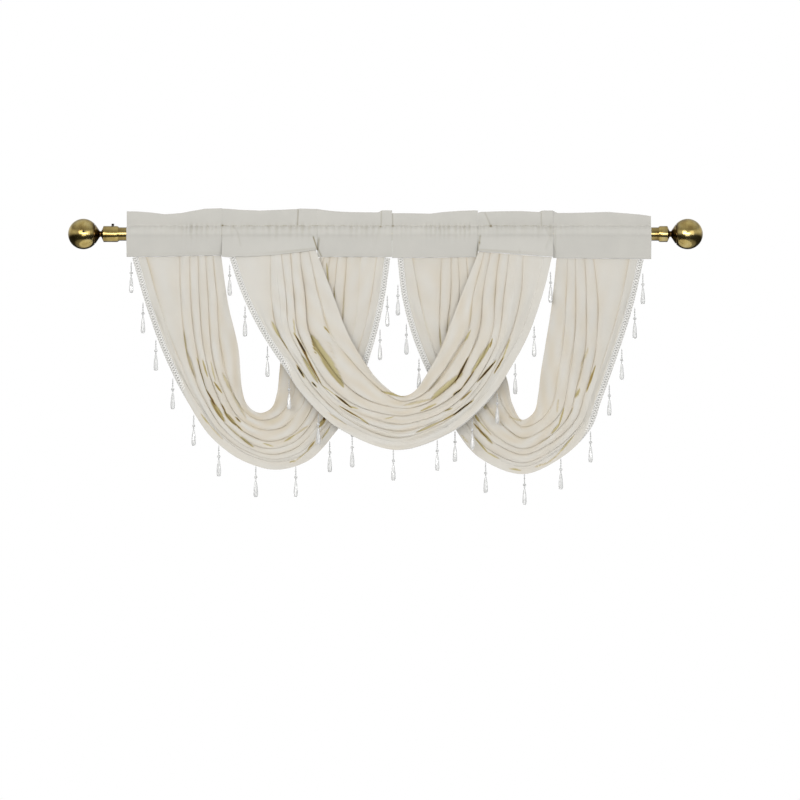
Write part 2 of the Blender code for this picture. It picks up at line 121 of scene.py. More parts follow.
# Pleats: how far one laps over the next, and how far back each part of one
# lies, as shares of the pleat depth
PLEAT_OVERLAP = 3.2 * MM
PLEAT_OVERLAP_SHARE = 0.24
OPEN_CREASE_SHARE = 0.08
OPEN_CREASE_BACK = 0.45
OPEN_MIDDLE_BACK = 1.3 * OPEN_CREASE_BACK
FREE_EDGE_BACK = 0.3
LIP_BACK = 0.2
UNDER_BACK = 0.75
SHOULDER = 0.14
SHOULDER_BACK = 0.24
SHOULDER_TILT = 0.18
CREST_SHARE = 0.35
CREST_SWAY = 0.06
CREST_WAVE = 60 * MM

# How dark the painted shade in each part of a pleat's crease is, from 0 to 1, and how unevenly the painted
# shade line of its crease is drawn
LIP_SHADE = 0.1
UNDER_SHADE = 0.36
OPEN_SHADE = 0.22
SHOULDER_SHADE = 0.03
LINE_TONE = 0.7
LINE_UNEVEN = 0.6
LINE_WAVE = 70 * MM
LINE_RANGE = (0.15, 1.4)

# Where the braid is turned behind, the cloth runs on to the swag's edge
TURNED_FORWARD = 1.3 * MM
TURNED_BACK = 2.2 * MM
BRAID_FORWARD = 1.4 * MM
BRAID_LAP = 2 * MM

# How far a fold strays from its table, as a share of the cloth's width and less
# of it on the legs, and how firmly and unevenly it is pressed
FOLD_SWAY = 0.008
LEG_SWAY = 0.4
KINK_SPACING = 38 * MM
KINK_SHIFT = 0.3
SWAY_WAVE = 120 * MM
FOLD_PRESSED = 0.95
BEND_EASE = 0.2
FOLD_UNEVEN = 0.35
LEG_UNEVEN = 0.5
UNEVEN_WAVE = 110 * MM
PRESSED_RANGE = (0.15, 1.2)

# The painted warm shade of the gathered folds, stronger toward the inner edge, in soft patches
PAINTED_WARM_SHADE = 0.08
OUTER_WARM_SHADE = 0.45
INNER_WARM_SHADE = 1.4
PATCH_LEVEL = 0.7
PATCH_UNEVEN = 0.5
PATCH_MOST = 1.4
PATCH_ALONG = 70 * MM
PATCH_ACROSS = 30 * MM

# Wrinkles: how high they stand and how long they are along and across the
# cloth. The ridges and the fine ones lie in the bends, and all of them fade
# over a share of the rows at a swag's ends.
Wrinkle = namedtuple("Wrinkle", "height along across")
SOFT_WRINKLES = Wrinkle(0.55 * MM, 80 * MM, 26 * MM)
RIDGES = Wrinkle(0.45 * MM, 190 * MM, 9 * MM)
RIDGE_SOFTNESS = 0.15
FINE_WRINKLES = Wrinkle(0.2 * MM, 16 * MM, 22 * MM)
WRINKLE_FADE = 1 / 12

# A slit: how far its cloth is pushed back as a share of its width and at most, how soft its rim is and how
# much lighter its painted shade is on its inner side
SLIT_PUSH = 0.45
SLIT_DEEPEST = 3 * MM
SLIT_RIM = 0.9 * MM
SLIT_FADE = 0.45
SLIT_NARROWEST = 0.1 * MM

# Braid: two crossing cords and two edge cords over a thin band
BRAID_WIDTH = 12 * MM
BRAID_GAP = 0.65 * MM
BRAID_STEP = 1.7 * MM
BRAID_WAVE = 10.5 * MM
CROSSING_SWING = 4 * MM
CROSSING_LIFT = 1 * MM
CROSSING_PASS = 0.5 * MM
CROSSING_RADIUS = 1.05 * MM
CROSSING_SIDES = 6
EDGE_OUT = 4.9 * MM
EDGE_WAVER = 0.35 * MM
EDGE_LIFT = 0.4 * MM
EDGE_RADIUS = 0.85 * MM
EDGE_SIDES = 5
BAND_HALF = 5.4 * MM
BAND_DEPTH = 0.7 * MM

# Bead strands
STRAND_STAND_OFF = 3.8 * MM
STRAND_RUN = 2 * MM
BEAD_RINGS = 6
BEAD_SIDES = 8
THREAD_RADIUS = 0.45 * MM
THREAD_SIDES = 5
THREAD_TOP = -0.5 * MM
THREAD_END = 28 * MM
THREAD_STEPS = 12

# Heading pockets, and the frill above them as shares of its thickness at its top
HEADING_CLOTH = 0.9 * MM
HEADING_COLUMNS = 150
HEADING_STEPS = 4
HEADING_EASE = 0.4 * MM
END_TUCK = 0.3 * MM
END_CURL = 2.5 * MM
HEM_STAND_OFF = 3 * MM
POCKET_CLEARANCE = 0.9 * MM
POCKET_ANGLES = (120, 150, 180, 210)
SEAM_HALF = 2.6 * MM
SEAM_HEIGHT = 15.6 * MM
FRILL_HALF = 1.5 * MM
FRILL_MIDDLE = 1.6
FRILL_FOOT = 1.5
FRILL_FOOT_RISE = 3 * MM
FRILL_LEAN = 1.4 * MM
FRILL_WAVE = 1.0
FRILL_WAVES = 5
TOP_SMOOTHING = 5
SEWN_GAP = 0.6 * MM

# The dark line along the seam, drawn as stitches, partly stitching and partly painted shade in the seam's
# crease, and the painted shade line along the turned hem: how dark, how wide, how uneven
STITCH = 5 * MM
STITCH_TONE = 0.5
STITCH_BEAT = 0.25
STITCH_UNEVEN = 0.45
STITCH_WAVE = 16 * MM
STITCH_RANGE = (0.1, 1.2)
SEAM_WANDER = 0.7 * MM
SEAM_WAVE = 12 * MM
SEAM_LINE = 0.9 * MM
HEM_RISE = 4 * MM
HEM_TONE = 0.16
HEM_LINE = 0.8 * MM

# Gathers: fine upright ripples, strongest under the seam, with painted shade in their valleys, and broad
# ones
GATHER_WAVES = 7
GATHER_MOST = 1.2
GATHER_HEIGHT = 1.3 * MM
GATHER_LEAN = 0.25
GATHER_ALONG = 60 * MM
GATHER_ACROSS = 8 * MM
AT_SEAM = 0.5
AT_SEAM_REACH = 6 * MM
UNDER_SEAM = 0.8
UNDER_SEAM_REACH = 18 * MM
BROAD_HEIGHT = 0.8 * MM
BROAD_LEAN = 0.3
BROAD_ALONG = 90 * MM
BROAD_ACROSS = 26 * MM
BROAD_EVERYWHERE = 0.35
# Painted shade in the valleys between the fine ripples: how dark, where it starts and at most
VALLEY_TONE = 0.16
VALLEY_START = 0.4
VALLEY_MOST = 0.3

# Materials: colours are (place, colour) stops on a ramp, noise scales are per
# metre. A wave texture turns through 20 radians in one unit at scale 1.
Noise = namedtuple("Noise", "scale detail roughness")
Bump = namedtuple("Bump", "strength height")
WHITE = (1.0, 1.0, 1.0)
WAVE_TURN = 20
SWAG_PITCH = 0.55 * MM
HEADING_PITCH = 0.5 * MM
SWAG_SHEEN = 0.12
HEADING_SHEEN = 0.2
WEAVE_DISTORTION = 0.8
WEAVE_DETAIL = 0.6
WEAVE_BUMP = Bump(0.35, 0.12 * MM)
CLOTH_FINISH = {"Roughness": 0.82, "Specular IOR Level": 0.25, "Sheen Roughness": 0.45}
# The swag cloth's colour at 0, then painted shade deepening to tan, olive, brown and black in its folds,
# creases and slits
SWAG_STOPS = (
    (0.0, (0.582, 0.565, 0.524)),
    (0.12, (0.555, 0.50, 0.41)),
    (0.35, (0.43, 0.38, 0.205)),
    (0.6, (0.30, 0.218, 0.075)),
    (0.72, (0.17, 0.097, 0.033)),
    (0.84, (0.07, 0.037, 0.016)),
    (0.94, (0.015, 0.012, 0.01)),
)
# The heading cloth's colour at 0, then painted shade deepening to grey, brown and near black along its
# seams, hems, creases and gathers
HEADING_STOPS = (
    (0.0, (0.514, 0.503, 0.468)),
    (0.35, (0.36, 0.34, 0.28)),
    (0.7, (0.22, 0.18, 0.10)),
    (1.0, (0.05, 0.04, 0.03)),
)
MOTTLE = Noise(22.0, 4.0, 0.5)
MOTTLE_STOPS = ((0.3, (0.955, 0.955, 0.95)), (0.7, (1.0, 0.998, 0.99)))
BRAID_FINISH = {"Roughness": 0.45, "Metallic": 0.1, "Sheen Weight": 0.2}
# The braid's pale cords at 0, and at 1 its band, darkened as painted shade in the gaps between the cords
BRAID_STOPS = ((0.0, (0.76, 0.75, 0.72)), (1.0, (0.42, 0.415, 0.39)))
WINDING = Noise(900.0, 2.0, 0.5)
WINDING_BUMP = Bump(0.6, 0.3 * MM)
WINDING_STOPS = ((0.3, (0.8, 0.8, 0.8)), (0.6, WHITE))
BEAD_FINISH = {"Roughness": 0.12, "IOR": 1.49, "Transmission Weight": 0.45}
BEAD_GRAIN = Noise(260.0, 2.0, 0.5)
BEAD_STOPS = ((0.35, (0.70, 0.70, 0.69)), (0.65, (0.86, 0.86, 0.85)))
THREAD_FINISH = {"Roughness": 0.6}
THREAD_GRAIN = Noise(1500.0, 2.0, 0.5)
THREAD_STOPS = ((0.3, (0.26, 0.26, 0.25)), (0.7, (0.46, 0.46, 0.45)))
BRASS_FINISH = {"Metallic": 1.0, "Roughness": 0.17}
BRASS_STOPS = ((0.3, (0.27, 0.185, 0.062)), (0.5, (0.46, 0.355, 0.13)), (0.72, (0.57, 0.48, 0.235)))
BRASS_PATCHES = Noise(45.0, 4.0, 0.6)
TURNING_STOPS = ((0.35, (0.78, 0.77, 0.75)), (0.6, WHITE))
TURNING_STRETCH = (60.0, 1.0, 1.0)
TURNING = Noise(30.0, 3.0, 0.5)
TURNING_BUMP = Bump(0.15, 0.05 * MM)
TURNING_SHARE = 0.6
PATINA_STOPS = ((0.0, WHITE), (1.0, (0.16, 0.11, 0.08)))
STEEL_FINISH = {"Metallic": 0.8, "Roughness": 0.45}
STEEL_GRAIN = Noise(400.0, 3.0, 0.5)
STEEL_STOPS = ((0.3, (0.012, 0.011, 0.009)), (0.7, (0.03, 0.026, 0.02)))

# The photo's frame: the camera looks straight along +Y at the valance
CAMERA_X = 27.6 * MM
CAMERA_Z = -315.4 * MM
CAMERA_DISTANCE = 7.0
CAMERA_REACH = 100
FRAME_WIDTH = 1.52
SENSOR = 36.0

# Floor and lights: an area light's place, what it faces, its sides and power
FLOOR_RADIUS = 1.1
FLOOR_LEVEL = -1.25
FLOOR_SIDES = 96
FLOOR_FINISH = {
    "Base Color": (0.86, 0.86, 0.86, 1.0),
    "Roughness": 0.9,
    "Emission Color": (*WHITE, 1.0),
    "Emission Strength": 0.25,
}
Light = namedtuple("Light", "name place target width height power")
LIGHTS = (
    Light("key", (-1.6, -3.9, 0.9), (0, 0, -0.2), 2.2, 1.6, 44),
    Light("fill", (2.4, -3.2, 0.4), (0, 0, -0.2), 2.0, 2.0, 17),
    Light("front", (0.1, -4.6, -0.3), (0, 0, -0.2), 2.6, 2.0, 47),
    Light("strip", (0.0, -3.0, 0.12), (0, 0, 0), 3.4, 0.22, 24),
)

# How bright the studio is from straight below (0) by the horizon (0.5) to
# straight above (1)
STUDIO_LEVELS = (
    (0, 0.42), (0.12, 0.35), (0.18, 0.04), (0.43, 0.04), (0.5, 0.5),
    (0.57, 0.95), (0.66, 0.9), (0.75, 0.45), (1, 0.9),
)

# The cloth's flat cut: a swag's widest width across its opened pleats, the length of its outer edge and its
# area
Cut = namedtuple("Cut", "width length area")

# One row for each section across a swag, from the left heading round the
# bottom to the right heading: the trimmed outer edge, the inner edge, the
# front of the pleats, their depth, and which way they lap (1: inner over
# outer, -1: outer over inner)
Section = namedtuple("Section", "outer_x outer_z inner_x inner_z front depth lap")
SECTIONS = {
    "left": (
        Section(-482, -44, -312, -41, -4, 5, -0.7),
        Section(-454, -139, -299, -131, -7, 8, -0.8),
        Section(-417, -239, -279, -220, -7, 10, -0.3),
        Section(-375, -321, -273, -289, -7, 12, 0.5),
        Section(-326, -391, -265, -321, -7, 12, 0.9),
        Section(-271, -431, -250, -336, -8, 11, 0.9),
        Section(-212, -448, -235, -340, -9, 10, 0.9),
        Section(-151, -433, -217, -331, -8, 10, 0.9),
        Section(-96, -378, -206, -302, -7, 11, 0.8),
        Section(-54, -300, -198, -236, -7, 11, 0.3),
        Section(-18, -196, -174, -158, -7, 9, -0.4),
        Section(-1, -122, -149, -101, -7, 8, -0.8),
        Section(10, -44, -125, -44, -4, 5, -0.7),
    ),
    "centre": (
        Section(-297, -44, -132, -31, -13, 5, -0.7),
        Section(-268, -125, -96, -125, -25, 9, -0.8),
        Section(-231, -196, -71, -190, -33, 11, -0.3),
        Section(-193, -253, -48, -230, -38, 13, 0.6),
        Section(-155, -308, -24, -266, -41, 13, 0.9),
        Section(-77, -376, 9, -298, -45, 12, 0.9),
        Section(28, -410, 33, -308, -47, 11, 0.9),
        Section(119, -380, 54, -300, -45, 12, 0.9),
        Section(200, -312, 81, -262, -41, 13, 0.8),
        Section(237, -255, 104, -220, -38, 13, 0.4),
        Section(267, -201, 121, -177, -33, 11, -0.3),
        Section(298, -116, 144, -116, -25, 9, -0.8),
        Section(316, -44, 177, -34, -13, 5, -0.7),
    ),
    "right": (
        Section(22, -46, 173, -44, -4, 5, -0.7),
        Section(32, -125, 183, -122, -7, 8, -0.8),
        Section(52, -198, 195, -179, -7, 10, -0.3),
        Section(85, -277, 212, -230, -7, 12, 0.4),
        Section(123, -355, 231, -277, -7, 12, 0.9),
        Section(180, -426, 241, -323, -8, 11, 0.9),
        Section(263, -456, 259, -353, -9, 10, 0.9),
        Section(332, -426, 282, -338, -8, 10, 0.9),
        Section(389, -372, 290, -306, -7, 11, 0.8),
        Section(411, -315, 295, -264, -7, 11, 0.4),
        Section(434, -251, 303, -215, -7, 10, -0.3),
        Section(470, -139, 316, -131, -7, 8, -0.8),
        Section(491, -48, 325, -46, -4, 5, -0.7),
    ),
}

# The sections at which each fold's place across the swag is given, and the
# shares of the way along the swag at which its strengths hold
FOLD_SECTIONS = (0, 1, 2, 4, 6, 8, 10, 11, 12)
STRENGTH_MARKS = (0, 0.3, 0.5, 0.7, 1)

# One row for each fold: its places from the outer edge (0) to the inner edge
# (1) at those sections, then how strong it is on the left, at the bottom and
# on the right
Fold = namedtuple("Fold", "places left bottom right")
FOLDS = {
    "left": (
        Fold((0.09, 0.09, 0.09, 0.08, 0.08, 0.08, 0.09, 0.10, 0.11), 0.5, 0.6, 0.4),
        Fold((0.50, 0.38, 0.25, 0.19, 0.18, 0.18, 0.21, 0.28, 0.36), 0.8, 0.6, 0.15),
        Fold((0.62, 0.51, 0.38, 0.31, 0.29, 0.29, 0.37, 0.48, 0.58), 1.0, 0.8, 0.8),
        Fold((0.72, 0.62, 0.49, 0.47, 0.43, 0.41, 0.52, 0.62, 0.72), 1.0, 0.7, 0.7),
        Fold((0.81, 0.74, 0.61, 0.65, 0.66, 0.56, 0.67, 0.75, 0.84), 0.9, 0.6, 0.6),
        Fold((0.90, 0.86, 0.74, 0.85, 0.86, 0.76, 0.82, 0.87, 0.93), 0.7, 0.6, 0.4),
    ),
    "centre": (
        Fold((0.43, 0.25, 0.12, 0.12, 0.13, 0.12, 0.14, 0.20, 0.33), 0.9, 0.7, 0.8),
        Fold((0.50, 0.34, 0.20, 0.17, 0.26, 0.19, 0.22, 0.31, 0.44), 0.0, 0.5, 0.0),
        Fold((0.57, 0.43, 0.28, 0.24, 0.40, 0.26, 0.30, 0.42, 0.55), 0.6, 0.6, 0.8),
        Fold((0.68, 0.52, 0.38, 0.34, 0.58, 0.39, 0.40, 0.55, 0.68), 1.1, 0.7, 1.0),
        Fold((0.80, 0.65, 0.53, 0.54, 0.74, 0.56, 0.58, 0.71, 0.82), 1.4, 0.5, 1.2),
        Fold((0.91, 0.82, 0.78, 0.88, 0.91, 0.80, 0.74, 0.84, 0.91), 0.6, 0.6, 0.7),
    ),
    "right": (
        Fold((0.12, 0.15, 0.14, 0.10, 0.10, 0.08, 0.08, 0.09, 0.10), 0.5, 0.8, 0.5),
        Fold((0.52, 0.43, 0.30, 0.24, 0.27, 0.21, 0.22, 0.38, 0.54), 0.8, 0.8, 0.9),
        Fold((0.65, 0.57, 0.41, 0.34, 0.40, 0.34, 0.37, 0.53, 0.65), 0.8, 0.7, 0.9),
        Fold((0.75, 0.69, 0.53, 0.52, 0.63, 0.50, 0.56, 0.68, 0.77), 0.7, 0.6, 0.8),
        Fold((0.86, 0.83, 0.78, 0.77, 0.85, 0.70, 0.74, 0.81, 0.87), 0.5, 0.7, 0.5),
    ),
}

# Places where two pleats stand apart and the shaded inside shows, drawn as a shallow push back with painted
# shade, listed the way the swag runs: the two ends of the slit, its width and how dark its painted shade is
Slit = namedtuple("Slit", "x0 z0 x1 z1 width tone")
SLITS = {
    "left": (
        Slit(-383, -181, -377, -230, 3.5, 0.4),
        Slit(-378, -222, -360, -274, 7, 0.28),
        Slit(-358, -234, -340, -297, 2.6, 0.6),
        Slit(-341, -294, -321, -328, 4, 0.8),
        Slit(-332, -314, -305, -357, 9, 0.6),
        Slit(-347, -238, -337, -273, 3.4, 0.55),
        Slit(-331, -243, -322, -282, 3, 0.4),
        Slit(-326, -280, -310, -303, 4, 0.7),
        Slit(-311, -322, -300, -346, 3.4, 0.8),
        Slit(-306, -338, -283, -364, 7.5, 0.6),
        Slit(-286, -358, -270, -375, 2.8, 0.7),
        Slit(-285, -347, -274, -358, 3, 0.9),
        Slit(-309, -264, -291, -302, 6, 0.3),
        Slit(-293, -298, -264, -351, 5, 0.25),
        Slit(-304, -360, -274, -386, 3, 0.35),
        Slit(-276, -384, -250, -405, 5.5, 0.5),
        Slit(-350, -342, -333, -364, 3, 0.45),
        Slit(-335, -362, -308, -391, 2.6, 0.3),
        Slit(-232, -397, -212, -404, 2.8, 0.5),
        Slit(-193, -395, -171, -381, 4, 0.5),
        Slit(-173, -382, -146, -364, 4, 0.32),
        Slit(-183, -433, -170, -431, 2.8, 0.6),
        Slit(-171, -431, -143, -408, 2.6, 0.4),
        Slit(-148, -410, -134, -393, 4, 0.65),
        Slit(-128, -368, -112, -347, 8, 0.6),
        Slit(-118, -353, -113, -347, 5, 0.9),
        Slit(-121, -389, -105, -366, 3.4, 0.45),
        Slit(-81, -167, -78, -108, 2.4, 0.3),
        Slit(-96, -132, -98, -100, 3.2, 0.38),
        Slit(-109, -92, -112, -55, 4, 0.42),
    ),
    "centre": (
        Slit(-216, -166, -198, -199, 7, 0.4),
        Slit(-202, -192, -184, -220, 3.2, 0.65),
        Slit(-168, -249, -153, -274, 3.8, 1.0),
        Slit(-139, -281, -130, -291, 3.6, 1.0),
        Slit(-174, -160, -170, -196, 2.8, 0.4),
        Slit(-173, -189, -119, -289, 3.8, 0.82),
        Slit(-172, -190, -148, -231, 4.2, 0.93),
        Slit(-158, -230, -127, -284, 7, 0.4),
        Slit(-121, -286, -94, -307, 2, 0.5),
        Slit(-96, -305, -63, -331, 3.8, 0.95),
        Slit(-68, -327, -51, -332, 3.4, 0.45),
        Slit(-88, -326, -47, -350, 3, 0.85),
        Slit(-52, -346, -29, -363, 3, 0.55),
        Slit(-141, -192, -78, -292, 17, 0.48),
        Slit(-140, -197, -131, -230, 2.6, 0.75),
        Slit(-131, -213, -99, -259, 3, 0.6),
        Slit(-117, -175, -105, -190, 3, 0.65),
        Slit(-109, -198, -94, -244, 4, 0.12),
        Slit(-110, -338, -74, -362, 3, 0.28),
        Slit(-9, -299, 36, -310, 5, 0.5),
        Slit(-1, -351, 17, -347, 2.4, 0.45),
        Slit(58, -377, 106, -355, 5.5, 0.38),
        Slit(103, -357, 143, -335, 3.6, 0.65),
        Slit(126, -345, 166, -316, 3.8, 0.95),
        Slit(110, -336, 126, -331, 3, 0.65),
        Slit(141, -317, 163, -297, 3.4, 0.7),
        Slit(127, -306, 145, -294, 3.8, 0.95),
        Slit(141, -298, 168, -259, 3, 0.8),
        Slit(162, -265, 202, -203, 8, 0.45),
        Slit(198, -217, 202, -199, 3, 0.7),
        Slit(86, -314, 146, -264, 11, 0.45),
        Slit(131, -284, 157, -234, 5, 0.88),
        Slit(65, -337, 97, -322, 4, 0.5),
        Slit(173, -282, 209, -241, 4.6, 0.92),
        Slit(205, -266, 224, -233, 3.4, 0.85),
        Slit(221, -238, 236, -199, 3, 0.45),
        Slit(80, -300, 117, -258, 6, 0.22),
        Slit(112, -262, 153, -198, 8, 0.16),
        Slit(150, -204, 161, -184, 5, 0.45),
        Slit(34, -326, 90, -313, 5, 0.3),
    ),
    "right": (
        Slit(103, -175, 105, -217, 3.4, 0.4),
        Slit(123, -155, 115, -190, 2.6, 0.3),
        Slit(168, -341, 179, -358, 5.5, 0.6),
        Slit(176, -354, 202, -383, 3, 0.4),
        Slit(166, -358, 195, -391, 4, 0.75),
        Slit(184, -376, 203, -398, 5.5, 0.5),
        Slit(167, -384, 196, -417, 3.4, 0.55),
        Slit(193, -414, 216, -427, 3.4, 0.42),
        Slit(143, -381, 158, -397, 3.4, 0.35),
        Slit(184, -319, 191, -333, 7, 0.35),
        Slit(236, -445, 258, -449, 2.6, 0.5),
        Slit(283, -443, 307, -435, 3.5, 0.35),
        Slit(304, -438, 330, -417, 2.8, 0.35),
        Slit(326, -420, 359, -381, 4, 0.4),
        Slit(287, -400, 314, -383, 3.4, 0.32),
        Slit(314, -380, 331, -360, 5.5, 0.4),
        Slit(328, -366, 339, -329, 3.8, 0.55),
        Slit(360, -311, 369, -294, 6, 0.5),
        Slit(381, -301, 399, -249, 4, 0.7),
        Slit(342, -356, 357, -328, 2.8, 0.35),
        Slit(234, -347, 259, -356, 4, 0.3),
        Slit(195, -328, 226, -366, 3, 0.22),
        Slit(370, -253, 386, -215, 4, 0.28),
        Slit(325, -341, 328, -311, 3.4, 0.28),
    ),
}

# How strong the painted warm shade is, as (share of the way along, strength) points
WARM_SHADES = {
    "left": ((0, 0.25), (0.3, 0.9), (0.5, 1.25), (0.8, 1.0), (1, 0.8)),
    "centre": ((0, 0.15), (0.3, 0.8), (0.5, 1.15), (0.8, 0.8), (1, 0.5)),
    "right": ((0, 0.75), (0.3, 1.0), (0.5, 1.25), (0.7, 0.9), (1, 0.35)),
}

# How far the cloth runs out over the braid, from 0 (braid in full view) to 1
# (turned behind), as (share of the way along, cover) points
COVERS = {
    "left": ((0, 0), (0.27, 0), (0.33, 1), (0.70, 1), (0.76, 0), (1, 0)),
    "centre": ((0, 0), (0.25, 0), (0.31, 1), (0.50, 1), (0.54, 0.85), (0.68, 0.85), (0.72, 1), (1, 1)),
    "right": ((0, 0), (0.26, 0), (0.33, 1), (0.60, 1), (0.66, 0), (1, 0)),
}

# Where the bead strands hang: each one's distance along the trim
STRANDS = {
    "left": (10, 90, 165, 245, 325, 400, 480, 555, 635, 715, 795, 870, 935),
    "centre": (16, 100, 188, 262, 348, 425, 506, 590, 667, 735, 800, 880, 988),
    "right": (51, 127, 197, 275, 351, 434, 510, 584, 660, 756, 828, 910, 977),
}

# Round beads down a strand: distance below the braid and radius
Bead = namedtuple("Bead", "drop radius")
ROUND_BEADS = (
    Bead(3.0, 1.3),
    Bead(6.0, 1.3),
    Bead(9.0, 1.5),
    Bead(12.5, 1.3),
    Bead(15.5, 1.3),
    Bead(20.5, 3.1),
    Bead(25.2, 1.5),
)

# The faceted drop below them: distance below the braid and half-width
DROP_RINGS = (
    Bead(27.2, 0.9),
    Bead(29.5, 2.0),
    Bead(37.0, 3.2),
    Bead(46.0, 4.0),
    Bead(53.5, 4.2),
    Bead(57.3, 3.2),
    Bead(58.3, 1.6),
)
DROP_SIDES = 8

# One row for each heading, left to right: the swag that hangs from it, which of that swag's rows it holds,
# its two ends along the rod, how dark the line along its seam is (partly stitching, partly painted shade in
# the seam's crease), how far its hem bows down, the (x, z) points of its frill's top, and how strongly it
# is gathered at even steps
Heading = namedtuple("Heading", "name swag row left_x right_x seam bow tops gathers")
HEADINGS = (
    Heading(
        "heading_left_outer", "left", 0, -491, -311, 0.06, 0,
        (
            (-491, 43), (-476, 43), (-447, 41), (-419, 37.5),
            (-390, 39.5), (-368, 43.5), (-343, 48), (-311, 49),
        ),
        (0.1, 0.1, 0.2, 0.8, 1.0, 0.3),
    ),
    Heading(
        "heading_centre_left", "centre", 0, -310, -130, 0.5, 3.5,
        (
            (-310, 48.5), (-295, 47.5), (-276, 46), (-238, 44.5),
            (-200, 46), (-168, 47.5), (-162, 48.5), (-130, 47.5),
        ),
        (0.5, 0.6, 0.3, 0.9, 1.0, 0.5),
    ),
    Heading(
        "heading_left_inner", "left", -1, -129, 12, 0.3, 0,
        ((-129, 47.5), (-105, 44), (-77, 42), (-20, 41), (-12, 41.5), (-8, 45), (12, 45)),
        (0.6, 0.3, 0.6, 1.0, 0.5, 0.2),
    ),
    Heading(
        "heading_right_inner", "right", 0, 13, 175, 0.2, 0,
        ((13, 39.5), (46, 39.5), (84, 38.5), (113, 42), (142, 44), (169, 45), (175, 44.5)),
        (0.2, 0.3, 0.5, 1.0, 1.0, 0.6),
    ),
    Heading(
        "heading_centre_right", "centre", -1, 176, 318, 0.4, 0,
        ((176, 40.5), (180, 42), (218, 43), (256, 43.5), (284, 42), (292, 41.5), (297, 44.5), (318, 44.5)),
        (0.5, 0.4, 0.6, 0.6, 0.8, 1.0),
    ),
    Heading(
        "heading_right_outer", "right", -1, 319, 504, 0.12, 0,
        ((319, 44), (326, 40), (350, 40), (388, 41), (423, 42), (484, 37), (504, 34)),
        (0.3, 0.2, 0.15, 0.1, 0.1, 0.1),
    ),
)

# Creases in the fronts of the headings: their two ends, how wide and how deep they are (a ridge where the
# depth is less than 0), and how dark their painted shade is
Crease = namedtuple("Crease", "x0 z0 x1 z1 width depth tone")
CREASES = (
    Crease(-310, 16, -311, -38, 0.9, 0.3, 0.04),
    Crease(-310, 16, -310, 16, 2.0, 0.5, 0.6),
    Crease(-290, 15, -280, 3, 1.6, -0.7, 0.08),
    Crease(-280, 3, -275, -21, 1.6, -0.7, 0.08),
    Crease(-166, 47, -167, 17, 1.0, 1.2, 0.4),
    Crease(-137, -6, -130, -27, 1.1, 1.0, 0.7),
    Crease(-126, -9, -128, -25, 1.5, 0.6, 0.4),
    Crease(-129, -29, -129, -29, 1.8, 0.8, 0.95),
    Crease(-128, -29, -118, -50, 1.1, 0.8, 0.5),
    Crease(-12, 12, -22, -30, 2.0, 0.8, 0.02),
    Crease(-8, 45, -8, 17, 1.0, 0.8, 0.25),
    Crease(-9, 14, -9, 14, 1.8, 0.8, 0.6),
    Crease(13, 45, 14, 17, 1.0, 0.8, 0.25),
    Crease(14, 15, 14, 15, 1.8, 0.8, 0.6),
    Crease(189, 40, 200, 15, 1.2, 0.8, 0.2),
    Crease(200, 15, 200, 15, 2.2, 0.8, 0.8),
    Crease(180, -4, 173, -40, 1.4, 1.0, 0.35),
    Crease(178, -18, 178, -18, 2.0, 0.8, 0.8),
    Crease(296, 44, 296, 17, 1.0, 0.8, 0.2),
    Crease(303, 15, 321, -30, 1.6, 0.9, 0.05),
    Crease(320, 15, 303, -28, 1.6, -0.8, 0.05),
    Crease(322, 8, 322, -38, 1.6, 0.8, 0.08),
    Crease(252, -30, 262, -52, 1.6, -0.7, 0.05),
)


# Curves and unevenness

def smooth(knots, values, at):
    """Values of the smooth curve through rows of a table, at the places asked for."""
    knots = np.asarray(knots, float)
    values = np.asarray(values, float)
    slopes = np.gradient(values, knots, axis=0)
    span = np.clip(np.searchsorted(knots, at, side="right") - 1, 0, len(knots) - 2)
    width = knots[span + 1] - knots[span]
    s = (at - knots[span]) / width
    shape = (-1,) + (1,) * (values.ndim - 1)
    s = s.reshape(shape)
    width = width.reshape(shape)
    start = (1 + 2 * s) * (1 - s) ** 2
    end = s * s * (3 - 2 * s)
    leave = s * (1 - s) ** 2 * width
    arrive = s * s * (s - 1) * width
    return (
        start * values[span]
        + end * values[span + 1]
        + leave * slopes[span]
        + arrive * slopes[span + 1]
    )


def units(vectors):
    return vectors / np.linalg.norm(vectors, axis=-1, keepdims=True)


def mixed(first, second, share):
    return (1 - share) * first + share * second


def refined(points, steps):
    """The smooth curve through a row of points, with so many steps from each to the next."""
    count = len(points)
    return smooth(np.arange(count), points, np.linspace(0, count - 1, (count - 1) * steps + 1))


def fading(distance, width):
    """1 on a line, fading to 0 with the distance from it."""
    return np.exp(-((distance / width) ** 2))


def ripples(along, across, wave_along, wave_across, count=RIPPLE_WAVES):
    """A soft uneven field of about -1 to 1, from waves of about the given lengths."""
    total = np.zeros(np.broadcast(along, across).shape)
    for _ in range(count):
        turn = random.uniform(-1, 1)
        pace_along = turn / wave_along
        pace_across = np.sqrt(1 - turn * turn) / wave_across
        phase = random.uniform(0, 2 * np.pi)
        total += np.sin(2 * np.pi * (along * pace_along + across * pace_across) + phase)
    return total / np.sqrt(2 * count)


def line_ripples(run, wave, count=RIPPLE_WAVES):
    """The same along a line."""
    return ripples(run, 0.0, wave, 1.0, count)


def kinks(run, spacing):
    """An uneven zigzag of about -1 to 1 along a line, with straight stretches."""
    corners = np.arange(0, run[-1] + spacing, spacing)
    corners = corners + random.uniform(-KINK_SHIFT, KINK_SHIFT, len(corners)) * spacing
    return np.interp(run, corners, random.uniform(-1, 1, len(corners)))


# Meshes

def new_object(name, mesh, finish, smooth_shaded=True):
    mesh.materials.append(finish)
    made = bpy.data.objects.new(name, mesh)
    bpy.context.scene.collection.objects.link(made)
    if smooth_shaded:
        mesh.shade_smooth()
        mesh.set_sharp_from_angle(angle=SHARP_ANGLE)
    return made


